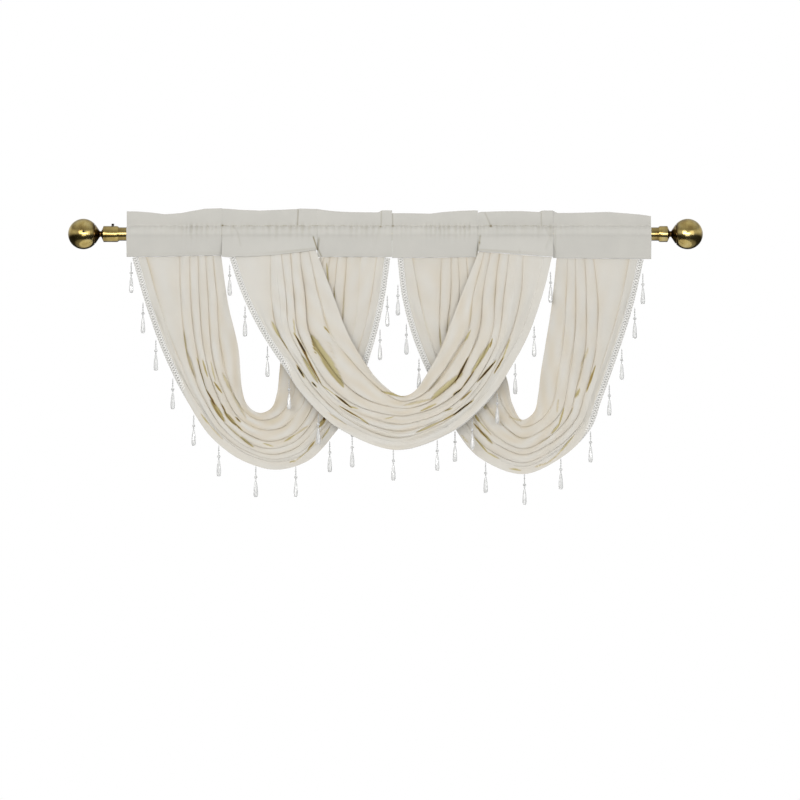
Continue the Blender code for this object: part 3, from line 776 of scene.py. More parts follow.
def mesh_of(name, points, faces):
    """A mesh whose faces are turned outward."""
    mesh = bpy.data.meshes.new(name)
    mesh.from_pydata(np.asarray(points).tolist(), [], faces)
    shape = bmesh.new()
    shape.from_mesh(mesh)
    bmesh.ops.recalc_face_normals(shape, faces=shape.faces)
    shape.to_mesh(mesh)
    shape.free()
    return mesh


def piece_of(name, parts, finish, smooth_shaded=True):
    """A piece from its points and faces."""
    return new_object(name, mesh_of(name, *parts), finish, smooth_shaded)


def paint(mesh, name, values):
    """A value at each point of a mesh, which its material reads."""
    layer = mesh.attributes.new(name, "FLOAT", "POINT")
    layer.data.foreach_set("value", np.asarray(values, np.float32))


def lay_out(mesh, layout):
    """A cloth's layout in metres as its UV map, for its front and again for its back."""
    corner_points = np.empty(len(mesh.loops), np.int32)
    mesh.loops.foreach_get("vertex_index", corner_points)
    uv = mesh.uv_layers.new(name="cloth")
    uv.data.foreach_set("uv", layout[corner_points % len(layout)].astype(np.float32).ravel())


def grid_faces(rows, columns, wrap=False):
    """Quads of a grid of points; with wrap its last column meets its first."""
    row = np.arange(rows - 1)[:, None]
    column = np.arange(columns if wrap else columns - 1)[None, :]
    after = (column + 1) % columns
    here = row * columns
    there = here + columns
    corners = [here + column, here + after, there + after, there + column]
    return np.stack(np.broadcast_arrays(*corners), axis=-1).reshape(-1, 4)


def bridge_faces(rim, back):
    """Quads from a closed rim of points to the same rim, so many points further on."""
    after = np.roll(rim, -1)
    return np.stack([rim, after, after + back, rim + back], axis=-1)


def ring_faces(rings, sides):
    """Faces of a row of rings, closed at both ends."""
    last = (rings - 1) * sides
    ends = [list(range(sides)), list(range(last, last + sides))]
    return grid_faces(rings, sides, wrap=True).tolist() + ends


def grid_normals(grid):
    across = np.gradient(grid, axis=1)
    along = np.gradient(grid, axis=0)
    return units(np.cross(along, across))


def sheet(name, grid, thickness, finish, front_shade, back_shade):
    """A thin closed sheet on a grid of points."""
    rows, columns = grid.shape[:2]
    half = grid_normals(grid) * thickness / 2
    points = np.concatenate([(grid + half).reshape(-1, 3), (grid - half).reshape(-1, 3)])
    numbers = np.arange(rows * columns).reshape(rows, columns)
    rim = np.concatenate([numbers[0], numbers[1:, -1], numbers[-1, -2::-1], numbers[-2:0:-1, 0]])
    front = grid_faces(rows, columns)
    back = rows * columns
    faces = np.concatenate([front, front + back, bridge_faces(rim, back)])
    mesh = mesh_of(name, points, faces.tolist())
    paint(mesh, "shade", np.concatenate([front_shade.ravel(), back_shade.ravel()]))
    steps_across = np.linalg.norm(np.diff(grid, axis=1), axis=2)
    steps_along = np.linalg.norm(np.diff(grid, axis=0), axis=2)
    u = np.concatenate([np.zeros((rows, 1)), np.cumsum(steps_across, axis=1)], axis=1)
    v = np.concatenate([[0], np.cumsum(steps_along.mean(axis=1))])
    lay_out(mesh, np.stack([u, np.broadcast_to(v[:, None], u.shape)], axis=-1).reshape(-1, 2))
    return new_object(name, mesh, finish)


def closed_loop(name, grid, shade, finish):
    """A cloth that goes all the way round, with its thickness inward, open at both ends."""
    rows, columns = grid.shape[:2]
    normals = units(np.cross(np.gradient(grid, axis=0), np.gradient(grid, axis=1)))
    middle = grid[0].mean(axis=0)
    if np.mean(np.sum(normals[0] * (grid[0] - middle), axis=1)) < 0:
        normals = -normals
    points = np.concatenate([grid.reshape(-1, 3), (grid - normals * HEADING_CLOTH).reshape(-1, 3)])
    front = grid_faces(rows, columns, wrap=True)
    back = rows * columns
    rims = (np.arange(columns), np.arange(columns) + (rows - 1) * columns)
    faces = np.concatenate([front, front + back] + [bridge_faces(rim, back) for rim in rims])
    mesh = mesh_of(name, points, faces.tolist())
    paint(mesh, "shade", np.tile(shade.ravel(), 2))
    run = np.concatenate([[0], np.cumsum(np.linalg.norm(np.diff(grid[0], axis=0), axis=1))])
    lay_out(mesh, np.stack(np.broadcast_arrays(grid[:, :, 0], run[None, :]), axis=-1).reshape(-1, 2))
    return new_object(name, mesh, finish)


def tube(path, radius, sides):
    """Points and faces of a closed tube along a path."""
    along = units(np.gradient(path, axis=0))
    side = units(np.cross(along, BACKWARD))
    up = np.cross(side, along)
    angles = np.arange(sides) * 2 * np.pi / sides
    ring = np.cos(angles)[None, :, None] * side[:, None] + np.sin(angles)[None, :, None] * up[:, None]
    return (path[:, None] + radius * ring).reshape(-1, 3), ring_faces(len(path), sides)


def upright_rings(centre, rings, sides, turn=0.0, knurl=0.0):
    """Points and faces of a closed upright solid from (height, radius) rings; knurl draws
    every other side in by that share."""
    points = []
    for height, radius in rings:
        for side in range(sides):
            angle = turn + 2 * np.pi * side / sides
            out = radius * (1 - knurl * (side % 2))
            points.append(
                (centre[0] + out * np.cos(angle), centre[1] + out * np.sin(angle), centre[2] + height)
            )
    return points, ring_faces(len(rings), sides)


def turned_rings(profile, sides):
    """Points and faces of a solid turned about the X axis; its first and last rows are poles."""
    angles = np.arange(sides) * 2 * np.pi / sides
    points = []
    faces = []
    rings = []
    for x, radius in profile:
        if radius == 0:
            rings.append([len(points)] * sides)
            points.append((x, 0, 0))
            continue
        rings.append(list(range(len(points), len(points) + sides)))
        points += [(x, radius * np.cos(angle), radius * np.sin(angle)) for angle in angles]
    for ring, following in zip(rings, rings[1:]):
        for side in range(sides):
            other = (side + 1) % sides
            corners = [ring[side], ring[other], following[other], following[side]]
            faces.append(list(dict.fromkeys(corners)))
    return points, faces


def joined(parts):
    """One list of points and one of faces from several."""
    points = []
    faces = []
    for part_points, part_faces in parts:
        start = len(points)
        points += [tuple(point) for point in part_points]
        faces += [[start + corner for corner in face] for face in part_faces]
    return points, faces


# Materials

def new_material(name, values):
    """A material whose shader has the given values, with its nodes, links and shader."""
    made = bpy.data.materials.new(name)
    made.use_nodes = True
    nodes = made.node_tree.nodes
    shader = nodes["Principled BSDF"]
    for socket, value in values.items():
        shader.inputs[socket].default_value = value
    return made, nodes, made.node_tree.links, shader


def ramped(nodes, links, factor, stops):
    """The colour that a value has on a ramp."""
    ramp = nodes.new("ShaderNodeValToRGB")
    elements = ramp.color_ramp.elements
    while len(elements) < len(stops):
        elements.new(1.0)
    for element, (place, colour) in zip(elements, stops):
        element.position = place
        element.color = (*colour, 1.0)
    links.new(factor, ramp.inputs["Fac"])
    return ramp.outputs["Color"]


def painted(nodes, links, name, stops):
    """The colour that a mesh's painted value has on a ramp."""
    value = nodes.new("ShaderNodeAttribute")
    value.attribute_name = name
    return ramped(nodes, links, value.outputs["Fac"], stops)


def mix_colour(nodes, links, blend, share, first, second):
    """A colour mix whose inputs may be colours or other nodes' sockets."""
    mix = nodes.new("ShaderNodeMix")
    mix.data_type = "RGBA"
    mix.blend_type = blend
    for socket, value in ((mix.inputs[0], share), (mix.inputs[6], first), (mix.inputs[7], second)):
        if isinstance(value, bpy.types.NodeSocket):
            links.new(value, socket)
        else:
            socket.default_value = value
    return mix.outputs[2]


def object_place(nodes):
    return nodes.new("ShaderNodeTexCoord").outputs["Object"]


def noise(nodes, links, vector, kind):
    made = nodes.new("ShaderNodeTexNoise")
    made.inputs["Scale"].default_value = kind.scale
    made.inputs["Detail"].default_value = kind.detail
    made.inputs["Roughness"].default_value = kind.roughness
    links.new(vector, made.inputs["Vector"])
    return made.outputs["Fac"]


def weave_height(nodes, links, layout, pitch):
    """The relief of a plain weave on a cloth's UV map: two crossing sets of threads."""
    cross = nodes.new("ShaderNodeMath")
    cross.operation = "MAXIMUM"
    for direction, height in zip("XY", cross.inputs):
        wave = nodes.new("ShaderNodeTexWave")
        wave.bands_direction = direction
        wave.wave_profile = "SIN"
        wave.inputs["Scale"].default_value = 2 * np.pi / (WAVE_TURN * pitch)
        wave.inputs["Distortion"].default_value = WEAVE_DISTORTION
        wave.inputs["Detail Scale"].default_value = WEAVE_DETAIL
        links.new(layout, wave.inputs["Vector"])
        links.new(wave.outputs["Fac"], height)
    return cross.outputs[0]


def bumped(nodes, links, shader, relief, kind):
    bump = nodes.new("ShaderNodeBump")
    bump.inputs["Strength"].default_value = kind.strength
    bump.inputs["Distance"].default_value = kind.height
    links.new(relief, bump.inputs["Height"])
    links.new(bump.outputs["Normal"], shader.inputs["Normal"])


def cloth_material(name, stops, pitch, sheen):
    """Cream cloth: a fine weave, soft mottling, and painted shade from the points' shade value that deepens
    to olive and brown in folds and creases.
    """
    made, nodes, links, shader = new_material(name, {**CLOTH_FINISH, "Sheen Weight": sheen})
    soft = noise(nodes, links, object_place(nodes), MOTTLE)
    mottle = ramped(nodes, links, soft, MOTTLE_STOPS)
    shade = painted(nodes, links, "shade", stops)
    links.new(mix_colour(nodes, links, "MULTIPLY", 1.0, shade, mottle), shader.inputs["Base Color"])
    layout = nodes.new("ShaderNodeUVMap").outputs["UV"]
    bumped(nodes, links, shader, weave_height(nodes, links, layout, pitch), WEAVE_BUMP)
    return made


def braid_material():
    """Silvery gimp: pale cords, wound with fine thread, over a band darkened as painted shade between the
    cords.
    """
    made, nodes, links, shader = new_material("silver_gimp", BRAID_FINISH)
    fine = noise(nodes, links, object_place(nodes), WINDING)
    winding = ramped(nodes, links, fine, WINDING_STOPS)
    shade = painted(nodes, links, "shade", BRAID_STOPS)
    links.new(mix_colour(nodes, links, "MULTIPLY", 1.0, shade, winding), shader.inputs["Base Color"])
    bumped(nodes, links, shader, fine, WINDING_BUMP)
    return made


def brass_material():
    """Antique brass: patina in patches and hollows, and fine turning marks round the axis."""
    made, nodes, links, shader = new_material("antique_brass", BRASS_FINISH)
    place = object_place(nodes)
    stretch = nodes.new("ShaderNodeMapping")
    stretch.inputs["Scale"].default_value = TURNING_STRETCH
    links.new(place, stretch.inputs["Vector"])
    marks = noise(nodes, links, stretch.outputs["Vector"], TURNING)
    lines = ramped(nodes, links, marks, TURNING_STOPS)
    patches = ramped(nodes, links, noise(nodes, links, place, BRASS_PATCHES), BRASS_STOPS)
    worn = mix_colour(nodes, links, "MULTIPLY", TURNING_SHARE, patches, lines)
    patina = painted(nodes, links, "patina", PATINA_STOPS)
    links.new(mix_colour(nodes, links, "MULTIPLY", 1.0, worn, patina), shader.inputs["Base Color"])
    bumped(nodes, links, shader, marks, TURNING_BUMP)
    return made


def speckled_material(name, finish, grain, stops):
    """A material whose colour varies finely."""
    made, nodes, links, shader = new_material(name, finish)
    fine = noise(nodes, links, object_place(nodes), grain)
    links.new(ramped(nodes, links, fine, stops), shader.inputs["Base Color"])
    return made


# Swags

Lines = namedtuple(
    "Lines", "outer braid_edge cloth_edge inner front depth lap belly places strengths at run"
)


def swag_lines(swag):
    """The swag's edges at every row along it, as (x, z) points in metres, with the front,
    depth, lap and belly of its pleats, the place and strength of each fold, and how far
    along the swag the row is, as a share and in metres."""
    table = np.array(SECTIONS[swag], float)
    given = Section(*table.T)
    middle_x = (given.outer_x + given.inner_x) / 2
    middle_z = (given.outer_z + given.inner_z) / 2
    knots = np.concatenate([[0], np.cumsum(np.hypot(np.diff(middle_x), np.diff(middle_z)))])
    share = np.linspace(0, 1, SWAG_ROWS)
    at = knots[-1] * (share + ROW_CROWDING * np.sin(2 * np.pi * share))
    rows = Section(*smooth(knots, table, at).T)
    outer = np.stack([rows.outer_x, rows.outer_z], axis=1) * MM
    inner = np.stack([rows.inner_x, rows.inner_z], axis=1) * MM
    along = units(np.gradient(outer, axis=0))
    inward = np.stack([-along[:, 1], along[:, 0]], axis=1)
    inward[0] = (1, 0)
    inward[-1] = (-1, 0)
    folds = FOLDS[swag]
    places = np.array([fold.places for fold in folds]).T
    strengths = np.array([(fold.left, fold.left, fold.bottom, fold.right, fold.right) for fold in folds]).T
    return Lines(
        outer=outer,
        braid_edge=outer + inward * BRAID_WIDTH,
        cloth_edge=outer + inward * (BRAID_WIDTH + BRAID_GAP),
        inner=inner,
        front=rows.front * MM,
        depth=rows.depth * MM,
        lap=rows.lap,
        belly=BELLY * np.sin(np.pi * at / knots[-1]),
        places=smooth(knots[list(FOLD_SECTIONS)], places, at),
        strengths=smooth(knots[-1] * np.array(STRENGTH_MARKS), strengths, at),
        at=at / knots[-1],
        run=at * MM,
    )


def bend_of(lines):
    """0 at a swag's ends and 1 at its bottom, at every row."""
    return np.sin(np.pi * lines.at) ** 2


def along_swag(lines, points):
    """Values at every row from a table's (share of the way along, value) points."""
    return np.interp(lines.at, *np.array(points, float).T)


def crease_columns(lap, strength, overlap, flat, line_tone):
    """Three columns at a crease: the last of its outer pleat, its middle and the first of
    its inner pleat, each as (across, back, shade) at every row."""
    over = lap > 0
    zero = np.zeros(len(lap))
    half = overlap / 2
    lapped = (
        (np.where(over, overlap, zero), np.where(over, UNDER_BACK, LIP_BACK)),
        (np.where(over, half, -half), (UNDER_BACK + LIP_BACK) / 2),
        (np.where(over, zero, -overlap), np.where(over, LIP_BACK, UNDER_BACK)),
    )
    lapped_shades = (
        np.where(over, UNDER_SHADE, LIP_SHADE),
        UNDER_SHADE,
        np.where(over, LIP_SHADE, UNDER_SHADE),
    )
    opened = ((-flat, OPEN_CREASE_BACK), (zero, OPEN_MIDDLE_BACK), (flat, OPEN_CREASE_BACK))
    opened_shades = (OPEN_SHADE / 2, OPEN_SHADE, OPEN_SHADE / 2)
    turned_over = abs(lap)
    sewn = np.minimum(strength, 1)
    columns = []
    for place in range(3):
        across = sewn * mixed(opened[place][0], lapped[place][0], turned_over)
        across += (1 - sewn) * opened[place][0]
        back = strength * mixed(opened[place][1], lapped[place][1], turned_over)
        shade = sewn * line_tone * mixed(opened_shades[place], lapped_shades[place], turned_over)
        columns.append((across, back, shade))
    return columns


def edge_columns(swag, lines):
    """The swag's outer rim: three columns that run out over the braid where it is turned
    behind."""
    cover = along_swag(lines, COVERS[swag])
    band = BRAID_GAP + mixed(BRAID_LAP, BRAID_WIDTH, cover)
    back = FREE_EDGE_BACK - TURNED_FORWARD * cover / lines.depth
    none = np.zeros(len(cover))
    return [(column * HEM_COLUMN - (1 - column / 2) * band, back, none) for column in range(3)]


def strayed(lines):
    """The swag's folds with their small unevenness: places and strengths at every row."""
    places = lines.places.copy()
    strengths = lines.strengths.copy()
    bend = bend_of(lines)
    for fold in range(places.shape[1]):
        sway = kinks(lines.run, KINK_SPACING) + line_ripples(lines.run, SWAY_WAVE)
        places[:, fold] += FOLD_SWAY * sway * mixed(LEG_SWAY, 1, bend)
        uneven = FOLD_UNEVEN * (LEG_UNEVEN + bend) * line_ripples(lines.run, UNEVEN_WAVE)
        strengths[:, fold] *= np.clip(FOLD_PRESSED - BEND_EASE * bend + uneven, *PRESSED_RANGE)
    return places, strengths


def pleat_columns(swag, lines):
    """Control columns across the swag at every row, as (across, back, shade)."""
    reach = np.linalg.norm(lines.inner - lines.cloth_edge, axis=1)
    places, strengths = strayed(lines)
    edges = np.concatenate([np.zeros((len(reach), 1)), places, np.ones((len(reach), 1))], axis=1)
    edges = edges * reach[:, None]
    widths = np.diff(edges, axis=1)
    last = strengths.shape[1]
    free = np.full(len(reach), FREE_EDGE_BACK)
    none = np.zeros(len(reach))
    columns = edge_columns(swag, lines)
    for pleat in range(last + 1):
        start, width = edges[:, pleat], widths[:, pleat]
        near, far = free, free
        near_shade, far_shade = none, none
        if pleat > 0:
            near = strengths[:, pleat - 1] * (SHOULDER_BACK - SHOULDER_TILT * lines.lap)
            near_shade = SHOULDER_SHADE * strengths[:, pleat - 1]
        if pleat < last:
            far = strengths[:, pleat] * (SHOULDER_BACK + SHOULDER_TILT * lines.lap)
            far_shade = SHOULDER_SHADE * strengths[:, pleat]
        sway = CREST_SWAY * line_ripples(lines.run, CREST_WAVE)
        columns.append((start + SHOULDER * width, near, near_shade))
        columns.append((start + width * (0.5 + sway), CREST_SHARE * (near + far) + sway, none))
        columns.append((start + (1 - SHOULDER) * width, far, far_shade))
        if pleat == last:
            break
        narrow = np.minimum(width, widths[:, pleat + 1])
        overlap = np.minimum(PLEAT_OVERLAP, PLEAT_OVERLAP_SHARE * narrow)
        flat = OPEN_CREASE_SHARE * narrow
        line_tone = np.clip(LINE_TONE + LINE_UNEVEN * line_ripples(lines.run, LINE_WAVE), *LINE_RANGE)
        creases = crease_columns(lines.lap, strengths[:, pleat], overlap, flat, line_tone)
        for across, back, shade in creases:
            columns.append((start + width + across, back, shade))
    columns.append((edges[:, -1], free, none))
    across, back, shade = (np.stack(values, axis=1) for values in zip(*columns))
    return across / reach[:, None], back, shade


def swag_surface(swag, lines):
    """The swag's cloth as a fine grid of points, and how dark its painted shade is at each: in its creases,
    and the warm shade of its folds.
    """
    controls = pleat_columns(swag, lines)
    across, back, shade = (refined(values.T, CONTROL_STEPS).T for values in controls)
    inside = np.clip(across, 0, 1)
    flat = lines.cloth_edge[:, None] + across[:, :, None] * (lines.inner - lines.cloth_edge)[:, None]
    belly = lines.belly[:, None] * np.sin(np.pi * inside)
    depth = lines.front[:, None] + lines.depth[:, None] * back - belly
    grid = np.stack([flat[:, :, 0], depth, flat[:, :, 1]], axis=2)
    patches = ripples(lines.run[:, None], across * CLOTH_WIDTH, PATCH_ALONG, PATCH_ACROSS)
    # Painted warm shade, strongest in the bend and toward the inner edge, laid over the creases' painted
    # shade
    warm_shade = PAINTED_WARM_SHADE * along_swag(lines, WARM_SHADES[swag])[:, None]
    warm_shade = warm_shade * mixed(OUTER_WARM_SHADE, INNER_WARM_SHADE, inside)
    warm_shade = warm_shade * np.clip(PATCH_LEVEL + PATCH_UNEVEN * patches, 0, PATCH_MOST)
    return grid, np.clip(shade + warm_shade * (1 - shade), 0, 1)


def slit_marks(swag, grid):
    """How far each point of a swag is pushed back by its slits, and how dark their painted shade is there.
    """
    x, z = grid[:, :, 0], grid[:, :, 2]
    depth = np.zeros(x.shape)
    tone = np.zeros(x.shape)
    for slit in SLITS[swag]:
        start = np.array((slit.x0, slit.z0)) * MM
        run = np.array((slit.x1, slit.z1)) * MM - start
        length = np.hypot(*run)
        share = ((x - start[0]) * run[0] + (z - start[1]) * run[1]) / length**2
        aside = ((z - start[1]) * run[0] - (x - start[0]) * run[1]) / length
        half = slit.width * MM / 2 * np.sqrt(np.sin(np.pi * np.clip(share, 0, 1)))
        inside = np.clip((half - abs(aside)) / SLIT_RIM + 0.5, 0, 1) * ((share > 0) & (share < 1))
        fade = SLIT_FADE * (1 - slit.tone**2)
        lighter = 1 - fade * (1 + np.clip(aside / np.maximum(half, SLIT_NARROWEST), -1, 1)) / 2
        tone = np.maximum(tone, slit.tone * inside * lighter)
        depth = np.maximum(depth, min(SLIT_PUSH * slit.width * MM, SLIT_DEEPEST) * inside)
    return depth, tone


def crumpled(grid, lines):
    """The grid with the cloth's small uneven wrinkles, which fade at its ends."""
    along = lines.run[:, None]
    across = np.linspace(0, 1, grid.shape[1])[None, :] * CLOTH_WIDTH
    soft, ridges, fine = (
        ripples(along, across, wrinkle.along, wrinkle.across)
        for wrinkle in (SOFT_WRINKLES, RIDGES, FINE_WRINKLES)
    )
    in_bend = RIDGES.height * (1 - 2 * np.hypot(ridges, RIDGE_SOFTNESS)) + FINE_WRINKLES.height * fine
    height = SOFT_WRINKLES.height * soft + bend_of(lines)[:, None] * in_bend
    share = np.linspace(0, 1, SWAG_ROWS)
    fade = np.clip(np.minimum(share, 1 - share) / WRINKLE_FADE, 0, 1)[:, None]
    return grid + grid_normals(grid) * (height * fade)[:, :, None]


def swag(name, lines, finish):
    grid, shade = swag_surface(name, lines)
    depth, tone = slit_marks(name, grid)
    grid = crumpled(grid, lines)
    grid[:, :, 1] += depth
    # The slits' painted shade goes on the front; the back keeps only the folds' painted shade
    return sheet(f"cloth_{name}", grid, CLOTH, finish, np.maximum(shade, tone), shade)


# Braid and beads

def along_line(line, distances):
    """Points of a polyline at distances along it."""
    run = np.concatenate([[0], np.cumsum(np.linalg.norm(np.diff(line, axis=0), axis=1))])
    return np.stack([np.interp(distances, run, values) for values in line.T], axis=1)


def braid(name, lines, cloth_back, finish):
    """Gimp braid: a thin band, two cords that cross in a zigzag, and a cord at each edge."""
    behind = cloth_back + mixed(-BRAID_FORWARD, TURNED_BACK, along_swag(lines, COVERS[name]))
    edges = [np.insert(edge, 1, behind, axis=1) for edge in (lines.outer, lines.braid_edge)]
    middle = (edges[0] + edges[1]) / 2
    length = np.linalg.norm(np.diff(middle, axis=0), axis=1).sum()
    distances = np.arange(0, length, BRAID_STEP)
    centre = along_line(middle, distances)
    tangent = units(np.gradient(centre, axis=0))
    toward = units(np.cross(BACKWARD, tangent))
    turn = 2 * np.pi * distances / BRAID_WAVE
    parts = []
    for side in (-1, 1):
        swing = side * CROSSING_SWING * np.sin(turn)
        lift = CROSSING_LIFT + side * CROSSING_PASS * np.cos(turn)
        path = centre + toward * swing[:, None] - BACKWARD * lift[:, None]
        parts.append(tube(path, CROSSING_RADIUS, CROSSING_SIDES))
        edge = side * (EDGE_OUT + EDGE_WAVER * np.cos(2 * turn))
        path = centre + toward * edge[:, None] - BACKWARD * EDGE_LIFT
        parts.append(tube(path, EDGE_RADIUS, EDGE_SIDES))
    low, high = (centre + toward * side for side in (-BAND_HALF, BAND_HALF))
    depth = BACKWARD * BAND_DEPTH
    band = np.stack([low, high, high + depth, low + depth], axis=1).reshape(-1, 3)
    parts.append((band, ring_faces(len(centre), 4)))
    made = piece_of(f"braid_{name}", joined(parts), finish)
    # The band takes the painted shade of the gaps between the cords
    shade = np.zeros(len(made.data.vertices))
    shade[-len(band):] = 1.0
    paint(made.data, "shade", shade)
    return made


def strand_places(lines, cloth_back, strands):
    """Where each bead strand leaves the braid's outer edge."""
    outer = np.insert(lines.outer, 1, cloth_back, axis=1)
    distances = np.array(strands) * MM
    roots = along_line(outer, distances)
    run = units(along_line(outer, distances + STRAND_RUN) - along_line(outer, distances - STRAND_RUN))
    roots[:, 0] += run[:, 2] * STRAND_STAND_OFF
    return roots


def round_bead(centre, radius):
    angles = np.pi * np.arange(1, BEAD_RINGS) / BEAD_RINGS
    rings = [(radius * np.cos(angle), radius * np.sin(angle)) for angle in angles]
    return upright_rings(centre, rings, BEAD_SIDES)


def strands(name, roots, bead_finish, thread_finish):
    """The bead strands of one trim: beads and drops in one piece, their threads in another."""
    bead_parts = []
    thread_parts = []
    drop = [(-ring.drop * MM, ring.radius * MM) for ring in DROP_RINGS]
    levels = np.linspace(THREAD_TOP, THREAD_END, THREAD_STEPS)
    for root in roots:
        for bead in ROUND_BEADS:
            bead_parts.append(round_bead(root - np.array([0, 0, bead.drop * MM]), bead.radius * MM))
        bead_parts.append(upright_rings(root, drop, DROP_SIDES, turn=random.uniform(0, np.pi)))
        path = root - np.stack([0 * levels, 0 * levels, levels], axis=1)
        thread_parts.append(tube(path, THREAD_RADIUS, THREAD_SIDES))
    beads = piece_of(f"beads_{name}", joined(bead_parts), bead_finish, smooth_shaded=False)
    threads = piece_of(f"threads_{name}", joined(thread_parts), thread_finish)
    return beads, threads


# Headings

def heading_profile(hem_front, hem_back, hem_level, top):
    """Control points (y, z) of a heading's section: down its front, under its hem and up its
    back, at one place along the rod."""
    radius = ROD_RADIUS + POCKET_CLEARANCE + CLOTH
    arc = [(radius * np.cos(angle), radius * np.sin(angle)) for angle in np.radians(POCKET_ANGLES)]
    pocket_y, pocket_z = arc[-1]
    low = (hem_level + pocket_z) / 2
    front = [
        (-FRILL_HALF, top),
        (-FRILL_MIDDLE * FRILL_HALF, (top + SEAM_HEIGHT) / 2),
        (-FRILL_FOOT * FRILL_HALF, SEAM_HEIGHT + FRILL_FOOT_RISE),
        (-SEAM_HALF, SEAM_HEIGHT),
        *arc,
        ((hem_front + pocket_y) / 2, low),
        (hem_front, hem_level),
    ]
    back = [(hem_back, hem_level), ((hem_back - pocket_y) / 2, low)]
    back += [(-y, z) for y, z in reversed(front[:-2])]
    return np.array(front), np.array(back)


def gathered(grid, gathers):
    """The heading's small upright ripples, strongest at its seam over the rod, and how dark the painted
    shade in the valleys between them is."""
    x, z = grid[:, :, 0], grid[:, :, 2]
    near_seam = fading(z - SEAM_HEIGHT, AT_SEAM_REACH)
    below = np.where(z < SEAM_HEIGHT, fading(z - SEAM_HEIGHT, UNDER_SEAM_REACH), 0)
    pleats = ripples(z * GATHER_LEAN, x, GATHER_ALONG, GATHER_ACROSS, GATHER_WAVES)
    broad = ripples(z * BROAD_LEAN, x, BROAD_ALONG, BROAD_ACROSS, GATHER_WAVES)
    reach = gathers[:, None] * (AT_SEAM * near_seam + UNDER_SEAM * below)
    height = GATHER_HEIGHT * reach * pleats
    height += BROAD_HEIGHT * broad * mixed(BROAD_EVERYWHERE, 1, below)
    valleys = np.clip(VALLEY_TONE * reach * (VALLEY_START - pleats), 0, VALLEY_MOST)
    return grid + grid_normals(grid) * height[:, :, None], valleys


def heading_shade(row, grid, edge):
    """The fine dark lines of a heading's seam, partly stitching and partly painted shade, and the painted
    shade line of its hem.
    """
    x, z = grid[:, :, 0], grid[:, :, 2]
    beat = STITCH_BEAT * np.sin(2 * np.pi * x / STITCH)
    stitches = np.clip(STITCH_TONE + beat + STITCH_UNEVEN * line_ripples(x, STITCH_WAVE), *STITCH_RANGE)
    level = SEAM_HEIGHT + SEAM_WANDER * line_ripples(x, SEAM_WAVE)
    seam = row.seam * stitches * fading(z - level, SEAM_LINE)
    hem = HEM_TONE * fading(z - edge[:, None] - HEM_RISE, HEM_LINE)
    return np.maximum(seam, hem)


def crease_marks(grid):
    """How far each point of a heading is pressed in by its creases, and how dark their painted shade is
    there.
    """
    x, z = grid[:, :, 0], grid[:, :, 2]
    depth = np.zeros(x.shape)
    tone = np.zeros(x.shape)
    for crease in CREASES:
        start = np.array((crease.x0, crease.z0)) * MM
        run = np.array((crease.x1, crease.z1)) * MM - start
        length = max(run @ run, MM**2)
        share = np.clip(((x - start[0]) * run[0] + (z - start[1]) * run[1]) / length, 0, 1)
        away = np.hypot(x - start[0] - share * run[0], z - start[1] - share * run[1])
        mark = fading(away, crease.width * MM)
        depth += crease.depth * MM * mark
        tone = np.maximum(tone, crease.tone * mark)
    return depth, tone


def heading(row, lines, finish):
    """A rod pocket with its standing frill: one cloth that goes round the rod."""
    corners = sorted([lines.outer[row.row], lines.inner[row.row]], key=lambda corner: corner[0])
    hem_front = lines.front[row.row] - HEM_STAND_OFF
    hem_back = lines.front[row.row] + lines.depth[row.row] + HEM_STAND_OFF
    share = np.linspace(0, 1, HEADING_COLUMNS)
    x = mixed(row.left_x * MM - HEADING_EASE, row.right_x * MM + HEADING_EASE, share)
    tops = np.pad(np.interp(x, *np.array(row.tops, float).T * MM), TOP_SMOOTHING // 2, mode="edge")
    tops = np.convolve(tops, np.full(TOP_SMOOTHING, 1 / TOP_SMOOTHING), mode="valid")
    gathers = smooth(np.linspace(0, 1, len(row.gathers)), row.gathers, share)
    edge = np.interp(x, *np.array(corners).T) - row.bow * MM * np.sin(np.pi * share)
    leans = FRILL_LEAN * line_ripples(x, FRILL_WAVE, FRILL_WAVES)
    sections = []
    for level, top, lean in zip(SEWN_GAP + edge, tops, leans):
        front, back = heading_profile(hem_front, hem_back, level, top)
        front[:2, 0] += (lean, lean / 2)
        back[-2:, 0] += (lean / 2, lean)
        sections.append(np.concatenate([refined(front, HEADING_STEPS), refined(back, HEADING_STEPS)]))
    sections = np.array(sections)
    spread_x = np.broadcast_to(x[:, None, None], (*sections.shape[:2], 1))
    grid = np.concatenate([spread_x, sections], axis=2)
    grid, valleys = gathered(grid, np.clip(gathers, 0, GATHER_MOST))
    # Painted shade: the seam's and hem's lines and the gathers' valleys, then the creases' painted shade on
    # the front
    shade = np.maximum(heading_shade(row, grid, edge), valleys)
    on_front = grid[:, :, 1] < 0
    depth, tone = crease_marks(grid)
    from_end = np.minimum(x - x[0], x[-1] - x)
    tuck = END_TUCK * np.clip(1 - from_end / END_CURL, 0, 1)[:, None] ** 2
    tuck = np.where(grid[:, :, 2] < SEAM_HEIGHT, tuck, 0)
    grid[:, :, 1] += np.where(on_front, depth + tuck, -tuck)
    shade = np.clip(shade + np.where(on_front, tone, 0), 0, 1)
    return closed_loop(row.name.replace("heading", "band"), grid, shade, finish)


# Rod and finials

